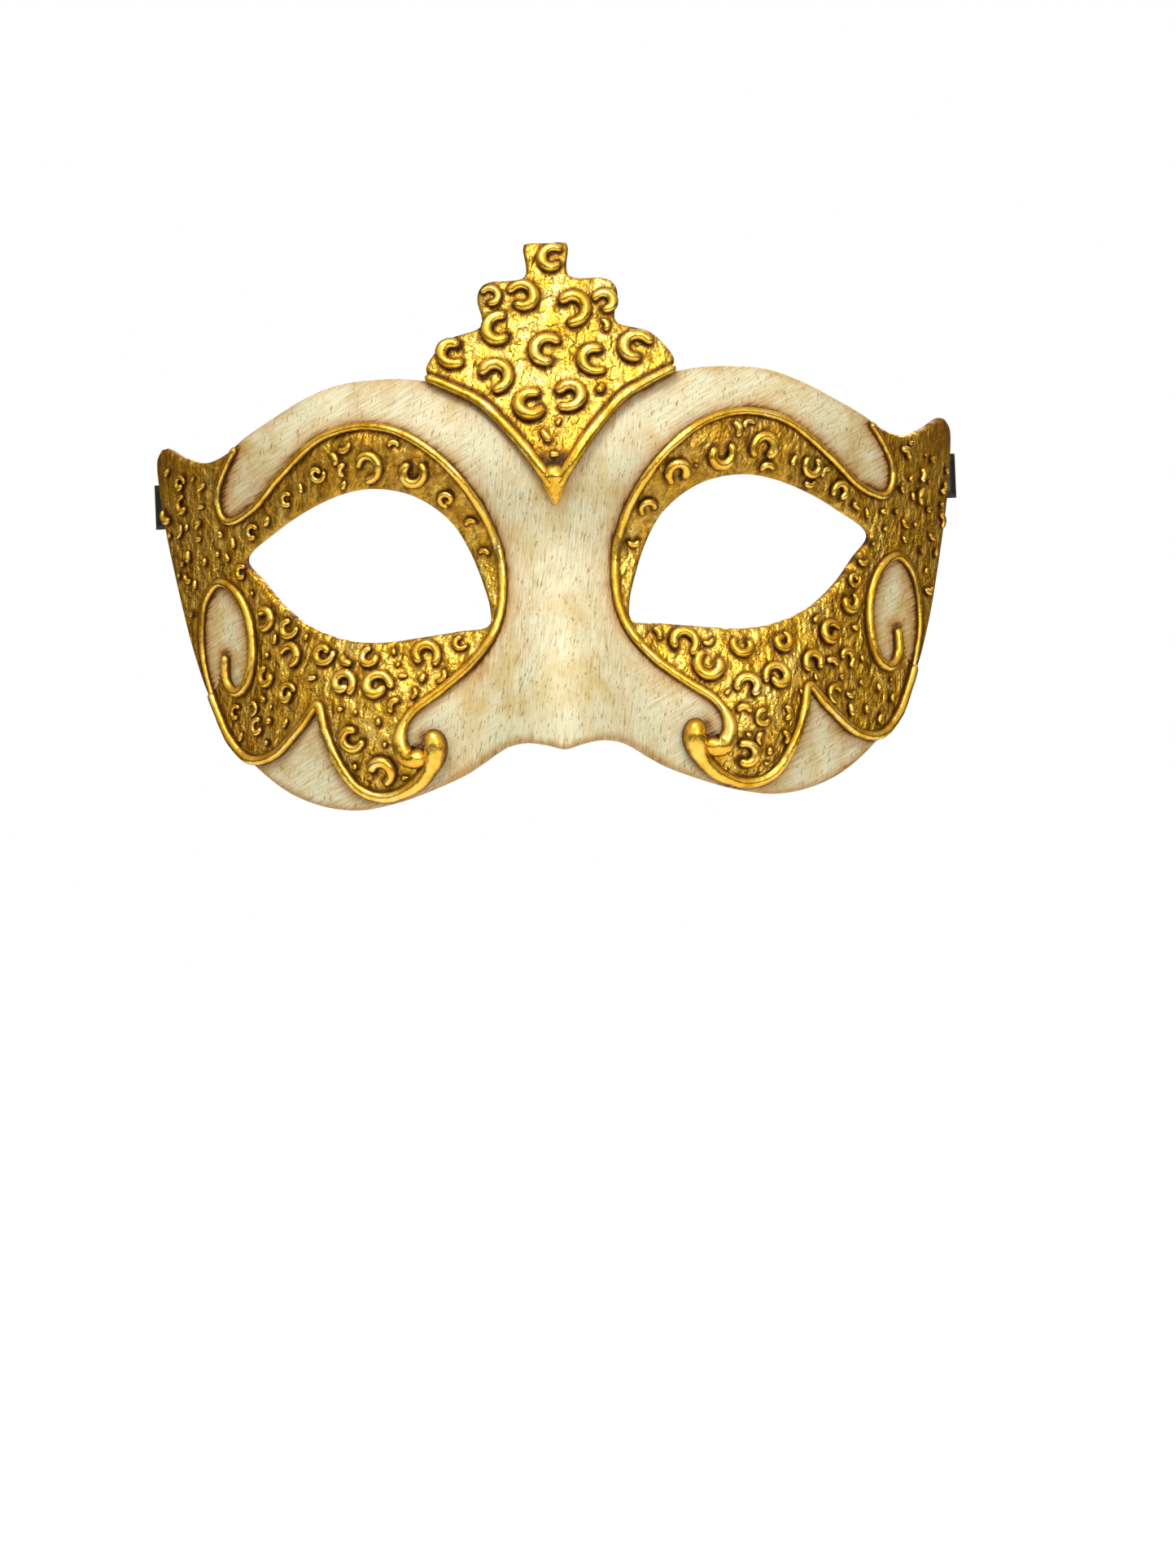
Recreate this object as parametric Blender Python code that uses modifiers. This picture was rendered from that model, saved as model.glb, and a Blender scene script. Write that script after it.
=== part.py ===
"""Gilt and ivory papier-mache half mask with a stepped crest, piped beads and curls, and two tie ribbons.

The mask stands upright and faces -Y. +X is the wearer's left, +Z is up, and the origin is where the back of
the nose bridge sits on the wearer. Shapes are given in millimetres as they look from the front, (x, z), and
laid on the mask's face by face_depth. The scene is in metres.
"""

import math

import bmesh
import bpy
from mathutils import Vector
from mathutils.geometry import delaunay_2d_cdt

MM = 0.001
OBJECT_NAME = "venetian_half_mask"

# Driving dimensions, in millimetres
SHELL_THICKNESS = 2.2
CREST_THICKNESS = 2.4
GLUE_GAP = 0.4        # between the mask's face and what is laid on it
BEAD_RADIUS = 1.2     # long beads round the eyes and lobes
CREST_BEAD_RADIUS = 1.3
SWIRL_BEAD_RADIUS = 1.1
CURL_RADIUS = 0.95    # piped curls
SHEET_SPACING = 5.0   # side of the triangles that a curved sheet is made of
BEAD_STEP = 2.6       # distance between a bead's points

# The face: a wrap round the head, with nose, brows, cheeks and eye sockets raised from it or sunk in it
WRAP_HALF_WIDTH, WRAP_DEPTH = 97.0, 88.0
NOSE_HEIGHT, NOSE_TOP_Z, NOSE_TIP_Z = 18.0, 6.0, -36.0
NOSE_TOP_HALF_WIDTH, NOSE_TIP_HALF_WIDTH = 7.0, 16.0
BROW_HEIGHT, BROW_SPREAD = 5.5, 13.0
BROW_PEAK = (42.0, 27.0)
CHEEK_HEIGHT, CHEEK_CENTRE, CHEEK_SPREAD = 6.0, (46.0, -34.0), (20.0, 16.0)
SOCKET_DEPTH, SOCKET_CENTRE, SOCKET_SPREAD = 5.0, (24.0, 1.0), (14.0, 11.0)
LEAN_START_Z, LEAN = 20.0, 0.0025

# Tie ribbons
RIBBON_WIDTH, RIBBON_THICKNESS = 10.0, 0.5
RIBBON_Z = 16.5             # height of the ribbon's middle
RIBBON_EDGE_X = 89.4        # the temple's edge at that height
RIBBON_TAB_START_X = 83.5   # where the glued end begins
RIBBON_TAB_END_X = 90.0     # where the ribbon turns in, just past the temple's edge
RIBBON_GAP = 0.35
PATCH_HEIGHT, PATCH_THICKNESS, PATCH_END_X = 17.0, 0.5, 88.0
ROLL_RADIUS = 7.6
ROLL_BORE_RADIUS = 1.6
ROLL_BACK, ROLL_INWARD = -5.0, 11.2   # the roll's axis from the temple's inner edge
LEAD_START_INWARD = 1.7

# Half outlines, from the middle round to the middle. The wearer's left side is given and the other mirrors it.
SHELL_OUTLINE = [
    (0, 40.5), (13, 41), (26.2, 41.9), (33.5, 42.8), (40.9, 42.8), (48.6, 41.9), (56.3, 39),
    (63.8, 34.8), (69.6, 31.2), (74.5, 27.4), (79.2, 25.9), (83.8, 27.4), (87.7, 29.7), (89.6, 28.4),
    (90.2, 24.6), (89, 12.9), (87.6, 4), (85, -9.5), (83, -18), (80.5, -26), (77, -33), (73, -39.5),
    (68.5, -44.5), (62.3, -49.4), (55, -52.6), (47.3, -53.8), (39.7, -52.8), (32.4, -50.7),
    (23.8, -47.2), (19.4, -44.6), (16, -42.2), (13, -40.7), (9, -40.1), (4.5, -40.8), (0, -41.8),
]
EYE_OUTLINE = [
    (70.2, 4.0), (63.2, 9.6), (56, 13.8), (49, 16.6), (42.4, 17.8), (35.4, 17.0), (29.4, 14.4),
    (23.8, 9.7), (20.1, 3.6), (17.3, -3.8), (15.9, -9.6), (16.6, -13.4), (22.8, -14.2), (31, -15.2),
    (40, -16), (48, -15.2), (55.8, -12.2), (62, -7.2), (66.6, -1.4),
]
CREST_OUTLINE = [
    (0, 71.3), (4, 71.3), (5, 70.2), (5, 63.5), (12.5, 63), (14.6, 61.8), (15.5, 59), (15, 53.3), (21.5, 51),
    (24.3, 48.6), (25.6, 44.5), (25.0, 42.6), (14.3, 37.4), (7.6, 30.6), (3.8, 25.2), (1.4, 21.2), (0, 19.8),
]
CREST_BEAD_ROUTE = [(27.2, 42.2), (21, 39.4), (15.3, 36), (8.8, 29), (5.2, 24), (2.5, 19.8)]
EYE_BEAD_ROUTE = [
    (70.4, 29.3), (73.4, 25.5), (75.5, 19.5), (75.4, 14.4), (73, 12.3), (67.6, 15.2), (61.9, 21.5),
    (54.2, 28.6), (48.2, 31.4), (41.3, 32.2), (34, 30.3), (27.2, 25.8), (21.2, 19.6), (16.3, 12),
    (13.4, 4.3), (12.5, -3), (13.2, -10.4), (15.8, -16.5), (20.7, -22.2), (27.1, -26.8), (33.2, -31.2),
    (35.9, -35.4), (36.4, -39.2),
]
LOBE_BEAD_ROUTE = [
    (27.6, -41.5), (29.2, -46), (33.4, -49.6), (40, -51), (46.5, -48.8), (51.2, -42), (53.3, -35.7),
    (54.3, -31), (57.4, -34.9), (62.3, -39.8), (67.9, -41.6), (72.4, -39.4), (75.3, -34.7), (76.6, -31),
]
SWIRL_BEAD_ROUTE = [
    (78.4, -26.2), (80.3, -19), (80.4, -11), (79.4, -5), (76.2, -2), (72.4, -4.8), (70.4, -10.5),
    (69.8, -17.5), (71.2, -23), (73.9, -24.6), (75.4, -21.5), (75.2, -17.4),
]
SCROLL_BULB = (31.0, -38.2)
SCROLL_BULB_RADIUS = 2.1
CREST_DROP = (0.0, 16.4)
CREST_DROP_RADIUS = 2.5

# Curls: (x, z, outer radius, angle of the open side in degrees). An angle of 0 opens to +X, 180 to -X.
CREST_CURLS = [
    (0.6, 67.0, 3.1, 0), (-11.4, 59.4, 2.2, 200), (-5.3, 58.2, 3.4, 190), (5.2, 57.2, 3.4, 180),
    (12.2, 56.2, 2.5, 330), (-10.2, 50.8, 3.4, 10), (-20.4, 47.0, 3.2, 20), (0.4, 47.2, 3.8, 350),
    (9.8, 44.6, 3.6, 350), (19.6, 46.2, 3.5, 0), (-12.4, 42.2, 3.8, 190), (-4.2, 35.6, 3.4, 20),
    (4.2, 36.4, 3.4, 190), (-1.0, 28.4, 2.3, 330),
]
CHEEK_CURLS = [
    (24.8, -18.6, 2.7, 0), (41.2, -20.6, 2.8, 20), (41.8, -28.2, 3.1, 0), (50.6, -19.4, 2.6, 180),
    (50.0, -28.0, 2.7, 200), (41.6, -44.6, 3.1, 20), (60.2, -16.8, 2.4, 30),
]
BROW_CURLS = [(44.6, 24.6, 3.0, 250), (33.2, 22.6, 2.7, 200), (55.6, 20.4, 2.6, 330)]
TEMPLE_CURLS = [(82.6, 18.6, 2.3, 300), (79.6, 6.6, 2.3, 60)]

# Colours, linear red, green, blue
IVORY = (0.66, 0.60, 0.47)
GILT = (0.72, 0.47, 0.11)
SATIN = (0.012, 0.011, 0.012)
PAPER = (0.19, 0.15, 0.11)


def smooth_step(value, low, high):
    t = min(max((value - low) / (high - low), 0.0), 1.0)
    return t * t * (3.0 - 2.0 * t)


def bump(value, centre, spread):
    return math.exp(-((value - centre) / spread) ** 2)


def relief(x, z):
    """How far back the wrapped, modelled face lies at (x, z), before it is moved to the origin."""
    x = abs(x)
    wrap = WRAP_DEPTH * (1.0 - math.sqrt(max(1.0 - (x / WRAP_HALF_WIDTH) ** 2, 0.01)))
    lean = LEAN * max(z - LEAN_START_Z, 0.0) ** 2
    down_nose = 1.0 - smooth_step(z, NOSE_TIP_Z, NOSE_TOP_Z)
    nose_width = NOSE_TOP_HALF_WIDTH + (NOSE_TIP_HALF_WIDTH - NOSE_TOP_HALF_WIDTH) * down_nose
    nose = NOSE_HEIGHT * down_nose * bump(x, 0.0, nose_width)
    brow_line = BROW_PEAK[1] - 0.003 * (x - BROW_PEAK[0]) ** 2
    brow = BROW_HEIGHT * bump(z, brow_line, BROW_SPREAD) * (1.0 - smooth_step(x, 50.0, 84.0))
    cheek = CHEEK_HEIGHT * bump(x, CHEEK_CENTRE[0], CHEEK_SPREAD[0]) * bump(z, CHEEK_CENTRE[1], CHEEK_SPREAD[1])
    socket = SOCKET_DEPTH * bump(x, SOCKET_CENTRE[0], SOCKET_SPREAD[0]) * bump(z, SOCKET_CENTRE[1], SOCKET_SPREAD[1])
    return wrap + lean + socket - nose - brow - cheek


def face_depth(x, z):
    """Y of the mask's outer face. The inner face is at 0 in the middle of the nose bridge."""
    return relief(x, z) - relief(0.0, 0.0) - SHELL_THICKNESS


def face_normal(x, z):
    step = 0.05
    slope_x = (face_depth(x + step, z) - face_depth(x - step, z)) / (2 * step)
    slope_z = (face_depth(x, z + step) - face_depth(x, z - step)) / (2 * step)
    return Vector((slope_x, -1.0, slope_z)).normalized()


def above_face(x, z, height):
    """The point that height above the outer face, on the normal at (x, z)."""
    return Vector((x, face_depth(x, z), z)) + height * face_normal(x, z)


def seen_at(x, z, height):
    """The point that height above the outer face which is at (x, z) when seen from the front."""
    foot_x, foot_z = x, z
    for _ in range(6):
        point = above_face(foot_x, foot_z, height)
        foot_x += x - point.x
        foot_z += z - point.z
    return above_face(foot_x, foot_z, height)


def smooth_route(points, step, closed=False):
    """Points about a step apart on a Catmull-Rom curve through the given points."""
    count = len(points)
    route = []
    for i in range(count if closed else count - 1):
        if closed:
            before, start, end, after = (Vector(points[(i + k) % count]) for k in (-1, 0, 1, 2))
        else:
            start, end = Vector(points[i]), Vector(points[i + 1])
            before = Vector(points[i - 1]) if i else start
            after = Vector(points[i + 2]) if i + 2 < count else end
        pieces = max(1, round((end - start).length / step))
        for k in range(pieces):
            t = k / pieces
            route.append(0.5 * (
                2 * start + (end - before) * t
                + (2 * before - 5 * start + 4 * end - after) * t * t
                + (3 * start - before - 3 * end + after) * t ** 3
            ))
    if not closed:
        route.append(Vector(points[-1]))
    return route


def mirrored(half):
    """A closed outline from its +X half, whose first and last points are in the middle."""
    return half + [(-x, z) for x, z in reversed(half[1:-1])]


def is_inside(x, z, outline):
    inside = False
    for (x1, z1), (x2, z2) in zip(outline, outline[1:] + outline[:1]):
        if (z1 > z) != (z2 > z) and x < x1 + (z - z1) * (x2 - x1) / (z2 - z1):
            inside = not inside
    return inside


def distance_to(x, z, outline):
    nearest = math.inf
    point = Vector((x, z))
    for start, end in zip(outline, outline[1:] + outline[:1]):
        start, along = Vector(start), Vector(end) - Vector(start)
        t = min(max((point - start).dot(along) / along.length_squared, 0.0), 1.0)
        nearest = min(nearest, (point - start - t * along).length)
    return nearest


def make_material(name, colour, roughness, metallic=0.0):
    material = bpy.data.materials.new(name)
    material.use_nodes = True
    shader = material.node_tree.nodes["Principled BSDF"]
    shader.inputs["Base Color"].default_value = (*colour, 1.0)
    shader.inputs["Roughness"].default_value = roughness
    shader.inputs["Metallic"].default_value = metallic
    return material


def add_object(name, data, material):
    part = bpy.data.objects.new(name, data)
    bpy.data.collections[OBJECT_NAME].objects.link(part)
    data.materials.append(material)
    return part


def curved_sheet(name, outline, holes, height, thickness, material):
    """A sheet whose outer face lies that height above the mask's face, cut to an outline with holes."""
    loops = [outline, *holes]
    corners = [point for loop in loops for point in loop]
    edges, start = [], 0
    for loop in loops:
        edges += [(start + i, start + (i + 1) % len(loop)) for i in range(len(loop))]
        start += len(loop)
    xs, zs = [p[0] for p in outline], [p[1] for p in outline]
    row_height = SHEET_SPACING * math.sqrt(3) / 2
    columns = math.ceil(max(xs) / SHEET_SPACING) + 1
    for row in range(math.floor(min(zs) / row_height), math.ceil(max(zs) / row_height) + 1):
        for column in range(-columns, columns + 1):
            x, z = (column + 0.5 * (row % 2)) * SHEET_SPACING, row * row_height
            clear = all(distance_to(x, z, loop) > 0.5 * SHEET_SPACING for loop in loops)
            if clear and is_inside(x, z, outline) and not any(is_inside(x, z, hole) for hole in holes):
                corners.append((x, z))
    flat, _, faces, *_ = delaunay_2d_cdt([Vector(p) for p in corners], edges, [], 0, 1e-4)
    mesh = bpy.data.meshes.new(name)
    shape = bmesh.new()
    verts = [shape.verts.new(above_face(p.x, p.y, height) * MM) for p in flat]
    for face in faces:
        x = sum(flat[i].x for i in face) / 3
        z = sum(flat[i].y for i in face) / 3
        if is_inside(x, z, outline) and not any(is_inside(x, z, hole) for hole in holes):
            shape.faces.new([verts[i] for i in face])
    loose = [vert for vert in shape.verts if not vert.link_faces]
    bmesh.ops.delete(shape, geom=loose, context="VERTS")
    for face in shape.faces:
        face.normal_update()
        if face.normal.y > 0:
            face.normal_flip()
        face.smooth = True
    shape.to_mesh(mesh)
    shape.free()
    sheet = add_object(name, mesh, material)
    wall = sheet.modifiers.new("Wall", "SOLIDIFY")
    wall.thickness = thickness * MM
    wall.offset = -1.0
    wall.use_even_offset = True
    return sheet


def tube(name, points, radius, material, tapers=None):
    """A round tube through points in millimetres, with closed ends."""
    curve = bpy.data.curves.new(name, "CURVE")
    curve.dimensions = "3D"
    curve.bevel_depth = radius * MM
    curve.bevel_resolution = 2
    curve.use_fill_caps = True
    spline = curve.splines.new("POLY")
    spline.points.add(len(points) - 1)
    for i, point in enumerate(points):
        spline.points[i].co = (*(Vector(point) * MM), 1.0)
        if tapers:
            spline.points[i].radius = tapers[i]
    spline.use_smooth = True
    return add_object(name, curve, material)


def bead(name, route, radius, side, material):
    """A long piped bead, laid on the mask's face along a route seen from the front."""
    height = radius + GLUE_GAP
    points = [seen_at(side * p.x, p.y, height) for p in smooth_route(route, BEAD_STEP)]
    return tube(name, points, radius, material)


def curl(name, centre, outer_radius, open_angle, lift, side, material):
    """A piped curl: most of a turn that winds in to a hooked end."""
    turns, count, wind_in = 0.8, 12, 0.3
    points, tapers = [], []
    for i in range(count):
        t = i / (count - 1)
        angle = math.radians(open_angle + 50) + turns * 2 * math.pi * t
        reach = (outer_radius - CURL_RADIUS) * (1.0 - wind_in * t * t)
        x = centre[0] + reach * math.cos(angle)
        z = centre[1] + reach * math.sin(angle)
        points.append(seen_at(side * x, z, lift + CURL_RADIUS + GLUE_GAP))
        tapers.append(0.7 + 0.3 * math.sin(math.pi * min(t * 1.2, 1.0)))
    return tube(name, points, CURL_RADIUS, material, tapers)


def dome(name, centre, radius, stretch, side, material):
    """A drop of piped paste: a squashed ball just clear of the mask's face."""
    mesh = bpy.data.meshes.new(name)
    shape = bmesh.new()
    bmesh.ops.create_uvsphere(shape, u_segments=16, v_segments=10, radius=radius * MM)
    shape.to_mesh(mesh)
    shape.free()
    mesh.shade_smooth()
    drop = add_object(name, mesh, material)
    drop.location = seen_at(side * centre[0], centre[1], 0.8 * radius + GLUE_GAP + 0.2) * MM
    drop.rotation_euler = face_normal(side * centre[0], centre[1]).to_track_quat("Z", "Y").to_euler()
    drop.scale = (1.0, stretch, 0.8)
    return drop


def upright_strip(name, plan, thickness, height, middle_z, material):
    """A strip that stands on its edge: a wall that follows plan points, given in millimetres in X and Y."""
    mesh = bpy.data.meshes.new(name)
    shape = bmesh.new()
    low = [shape.verts.new(Vector((p[0], p[1], middle_z - height / 2)) * MM) for p in plan]
    edges = [shape.edges.new(pair) for pair in zip(low, low[1:])]
    raised = bmesh.ops.extrude_edge_only(shape, edges=edges)["geom"]
    lifted = [item for item in raised if isinstance(item, bmesh.types.BMVert)]
    bmesh.ops.translate(shape, verts=lifted, vec=(0.0, 0.0, height * MM))
    bmesh.ops.recalc_face_normals(shape, faces=shape.faces)
    shape.to_mesh(mesh)
    shape.free()
    strip = add_object(name, mesh, material)
    wall = strip.modifiers.new("Wall", "SOLIDIFY")
    wall.thickness = thickness * MM
    wall.offset = 0.0
    return strip


def roll(name, centre, material):
    """The ribbon wound up: a turned ring on an upright axis."""
    mesh = bpy.data.meshes.new(name)
    shape = bmesh.new()
    half = RIBBON_WIDTH / 2
    profile = [(ROLL_RADIUS, half), (ROLL_RADIUS, -half), (ROLL_BORE_RADIUS, -half), (ROLL_BORE_RADIUS, half)]
    verts = [shape.verts.new((r * MM, 0.0, z * MM)) for r, z in profile]
    for start, end in zip(verts, verts[1:] + verts[:1]):
        shape.edges.new((start, end))
    shape.to_mesh(mesh)
    shape.free()
    ring = add_object(name, mesh, material)
    ring.location = Vector((centre[0], centre[1], RIBBON_Z)) * MM
    turn = ring.modifiers.new("Turn", "SCREW")
    turn.steps = turn.render_steps = 32
    turn.use_merge_vertices = True
    turn.merge_threshold = 0.00001
    return ring


def inner_face(x, clearance):
    """Plan point behind the shell's inner face at the ribbon's height."""
    point = above_face(x, RIBBON_Z, -(SHELL_THICKNESS + clearance))
    return Vector((point.x, point.y))


def temple_frame():
    """The temple's inner edge in plan, and the directions back along the wall and inward from it."""
    edge = inner_face(RIBBON_EDGE_X, 0.0)
    outward = face_normal(RIBBON_EDGE_X, RIBBON_Z)
    inward = Vector((-outward.x, -outward.y)).normalized()
    back = Vector((-inward.y, inward.x))
    return edge, back if back.y > 0 else -back, inward


def tie_ribbon(side, side_name, satin, paper):
    """One ribbon: its glued end under a paper patch, a short lead past the temple's edge, and the roll."""
    edge, back, inward = temple_frame()

    def plan(distance_back, distance_inward):
        return edge + distance_back * back + distance_inward * inward

    def placed(points):
        return [(side * p.x, p.y) for p in points]

    tab_depth = RIBBON_GAP + RIBBON_THICKNESS / 2
    tab_xs = [RIBBON_TAB_START_X + (RIBBON_TAB_END_X - RIBBON_TAB_START_X) * i / 5 for i in range(6)]
    tab = [inner_face(x, tab_depth) for x in tab_xs]
    upright_strip(f"ribbon_tab_{side_name}", placed(tab), RIBBON_THICKNESS, RIBBON_WIDTH, RIBBON_Z, satin)

    patch_depth = 2 * RIBBON_GAP + RIBBON_THICKNESS + PATCH_THICKNESS / 2
    patch_start_x = RIBBON_TAB_START_X - 3.0
    patch_xs = [patch_start_x + (PATCH_END_X - patch_start_x) * i / 4 for i in range(5)]
    patch = [inner_face(x, patch_depth) for x in patch_xs]
    upright_strip(f"ribbon_patch_{side_name}", placed(patch), PATCH_THICKNESS, PATCH_HEIGHT, RIBBON_Z, paper)

    lead_back = ROLL_BACK + ROLL_RADIUS + RIBBON_GAP + RIBBON_THICKNESS / 2
    lead = [plan(lead_back, LEAD_START_INWARD), plan(lead_back, ROLL_INWARD)]
    upright_strip(f"ribbon_lead_{side_name}", placed(lead), RIBBON_THICKNESS, RIBBON_WIDTH, RIBBON_Z, satin)

    roll(f"ribbon_roll_{side_name}", placed([plan(ROLL_BACK, ROLL_INWARD)])[0], satin)


def main():
    for old in list(bpy.data.objects):
        bpy.data.objects.remove(old, do_unlink=True)
    collection = bpy.data.collections.new(OBJECT_NAME)
    bpy.context.scene.collection.children.link(collection)

    ivory = make_material("ivory_gesso", IVORY, 0.55)
    gilt = make_material("gold_leaf", GILT, 0.32, 1.0)
    satin = make_material("black_satin", SATIN, 0.4)
    paper = make_material("backing_paper", PAPER, 0.85)

    shell_outline = [tuple(p) for p in smooth_route(mirrored(SHELL_OUTLINE), SHEET_SPACING, closed=True)]
    eyes = [
        [(side * p.x, p.y) for p in smooth_route(EYE_OUTLINE, SHEET_SPACING, closed=True)] for side in (1, -1)
    ]
    curved_sheet("mask_shell", shell_outline, eyes, 0.0, SHELL_THICKNESS, ivory)
    curved_sheet(
        "crest_plaque", mirrored(CREST_OUTLINE), [], GLUE_GAP + CREST_THICKNESS, CREST_THICKNESS, gilt
    )
    dome("crest_drop", CREST_DROP, CREST_DROP_RADIUS, 1.0, 1, gilt)
    for number, (x, z, radius, open_angle) in enumerate(CREST_CURLS, 1):
        name = f"crest_curl_{number:02d}"
        curl(name, (x, z), radius, open_angle, GLUE_GAP + CREST_THICKNESS, 1, gilt)

    for side, side_name in ((1, "left"), (-1, "right")):
        bead(f"crest_bead_{side_name}", CREST_BEAD_ROUTE, CREST_BEAD_RADIUS, side, gilt)
        bead(f"eye_bead_{side_name}", EYE_BEAD_ROUTE, BEAD_RADIUS, side, gilt)
        bead(f"lobe_bead_{side_name}", LOBE_BEAD_ROUTE, BEAD_RADIUS, side, gilt)
        bead(f"temple_bead_{side_name}", SWIRL_BEAD_ROUTE, SWIRL_BEAD_RADIUS, side, gilt)
        dome(f"scroll_bulb_{side_name}", SCROLL_BULB, SCROLL_BULB_RADIUS, 1.0, side, gilt)
        for group, curls in (("cheek", CHEEK_CURLS), ("brow", BROW_CURLS), ("temple", TEMPLE_CURLS)):
            for number, (x, z, radius, open_angle) in enumerate(curls, 1):
                name = f"{group}_curl_{side_name}_{number}"
                curl(name, (x, z), radius, open_angle, 0.0, side, gilt)
        tie_ribbon(side, side_name, satin, paper)


main()
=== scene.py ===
"""Venetian half mask in brushed ivory and antiqued gold leaf, with piped beads and curls and two satin ties.

Everything is laid on the mask's face, a surface y = face_depth(x, z) seen from the front. Shapes are in
millimetres and become metres when a mesh is made.
"""

import math

import bmesh
import bpy
import numpy as np
from mathutils import Euler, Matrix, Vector, noise
from mathutils.geometry import delaunay_2d_cdt
from mathutils.kdtree import KDTree


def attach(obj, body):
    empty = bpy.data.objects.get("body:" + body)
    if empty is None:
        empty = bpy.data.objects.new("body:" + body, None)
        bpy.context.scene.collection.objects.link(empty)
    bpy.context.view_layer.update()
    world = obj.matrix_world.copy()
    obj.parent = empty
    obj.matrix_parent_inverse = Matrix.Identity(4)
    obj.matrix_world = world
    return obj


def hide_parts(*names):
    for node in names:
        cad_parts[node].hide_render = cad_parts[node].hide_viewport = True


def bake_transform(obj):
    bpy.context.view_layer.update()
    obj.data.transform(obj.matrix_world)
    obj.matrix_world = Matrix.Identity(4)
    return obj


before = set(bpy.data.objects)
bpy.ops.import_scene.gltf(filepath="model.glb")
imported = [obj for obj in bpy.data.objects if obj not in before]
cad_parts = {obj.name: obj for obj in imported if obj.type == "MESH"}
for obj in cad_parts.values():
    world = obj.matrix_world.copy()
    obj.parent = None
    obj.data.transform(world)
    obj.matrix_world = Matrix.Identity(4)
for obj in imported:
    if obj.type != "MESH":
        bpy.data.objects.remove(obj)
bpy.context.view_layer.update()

MM = 0.001

# ---------------------------------------------------------------- sizes, in millimetres

SHELL_THICKNESS = 2.2
CREST_THICKNESS = 2.6
CREST_HEIGHT = 2.1        # the crest's front above the mask's face
RIM_BULGE = 0.7           # how far the rounded edge of a sheet stands out
RIM_ANGLES = (50, 90, 130)  # rows of vertices round that edge, in degrees from the front
MERGE_DISTANCE = 1e-3     # points of a sheet nearer than this are one
FINE_SPACING, COARSE_SPACING, CREST_SPACING = 0.75, 1.5, 0.62
EYE_STEP, SHELL_STEP, CREST_STEP = 0.9, 1.0, 0.8   # between points of each outline
SHELL_UNEVENNESS, CREST_UNEVENNESS = (0.25, 9.0), (0.3, 6.0)  # how high the bumps are, and how long
LINING_DEPTH = 0.6        # share of the wall's thickness where the paint inside begins

BEAD_RADIUS, CREST_BEAD_RADIUS, SWIRL_BEAD_RADIUS = 1.12, 1.4, 1.05
BEAD_SINK = 0.30          # how much of a bead's radius is buried in the ground
CURL_SINK = 0.25
BEAD_STEP, MEASURING_STEP = 0.8, 1.0   # between points of a bead, and of a line distances are taken to
CREST_BEAD_GROUND = 1.2   # the crest's beads are laid on the slope of its edge
DROP_RADIUS, DROP_HEIGHT = 3.5, 0.5
DROP_ROUTE = [(0, 22.6), (0, 19.6), (0, 16.2), (0, 12.8)]
DROP_SWELL = [(0, 0.3), (0.12, 0.8), (0.30, 1.0), (0.65, 0.64), (1, 0.12)]
# The drop's glaze and painted shade are measured from this level
DROP_GLAZE_AND_SHADE_LEVEL = -2.1   # low, so that the drop's top is wiped clean

# The face: a wrap round the head, with nose, brows, cheeks and eye sockets raised from it or sunk in it
WRAP_HALF_WIDTH, WRAP_DEPTH = 97.0, 88.0
WRAP_LIMIT = 0.01         # keeps the wrap finite beyond its half width
NOSE_HEIGHT, NOSE_TOP_Z, NOSE_TIP_Z = 18.0, 6.0, -36.0
NOSE_TOP_HALF_WIDTH, NOSE_TIP_HALF_WIDTH = 7.0, 16.0
BROW_HEIGHT, BROW_SPREAD = 5.5, 13.0
BROW_PEAK, BROW_CURVE, BROW_FADE = (42.0, 27.0), 0.003, (50.0, 84.0)
CHEEK_HEIGHT, CHEEK_CENTRE, CHEEK_SPREAD = 6.0, (46.0, -34.0), (20.0, 16.0)
SOCKET_DEPTH, SOCKET_CENTRE, SOCKET_SPREAD = 5.0, (24.0, 1.0), (14.0, 11.0)
LEAN_START_Z, LEAN = 20.0, 0.0025
SLOPE_STEP = 0.05         # how far apart two heights are taken to find a slope
SEEN_ROUNDS = 8           # corrections that bring a raised point to where it looks to be

# Ribbons: 10 mm satin, each cut 450 mm long
RIBBON_WIDTH, RIBBON_LENGTH, RIBBON_THICKNESS = 10.0, 450.0, 0.24
RIBBON_ROWS = 7
RIBBON_Z = 16.5
RIBBON_EDGE_X, RIBBON_TAB_START_X, RIBBON_TAB_END_X = 89.4, 83.5, 90.0
TAB_CLEARANCE = 0.2
ROLL_BACK, ROLL_INWARD, ROLL_RADIUS = -5.0, 11.2, 7.5
ROLL_PITCH, ROLL_STEPS_PER_TURN, FOLD_STEP = 0.36, 26, 0.5
# The slack fold past the temple's edge: how far each point is behind the edge, and how far inwards
RIBBON_FOLD = [(2.2, -1.0), (3.3, -1.4), (4.2, -1.1), (4.0, -0.2), (3.2, 0.7)]
LEAD_START_INWARD, LEAD_MIDDLE_INWARD, LEAD_END_INWARD = 1.9, 4.0, 5.5
PATCH_HEIGHT, PATCH_START_X, PATCH_END_X, PATCH_THICKNESS = 17.0, 79.5, 88.0, 0.35
PATCH_CLEARANCE = 0.1
PATCH_COLUMNS, PATCH_ROWS = 18, 26
PATCH_TEAR, PATCH_END_TEAR = 0.5, 0.3      # unevenness of the torn edges, and its share at the outer end
STEP_OVER_TAB_Z, STEP_OVER_TAB_X = (5.0, 6.2), (82.6, 83.8)   # where the paper rises over the ribbon

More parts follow.
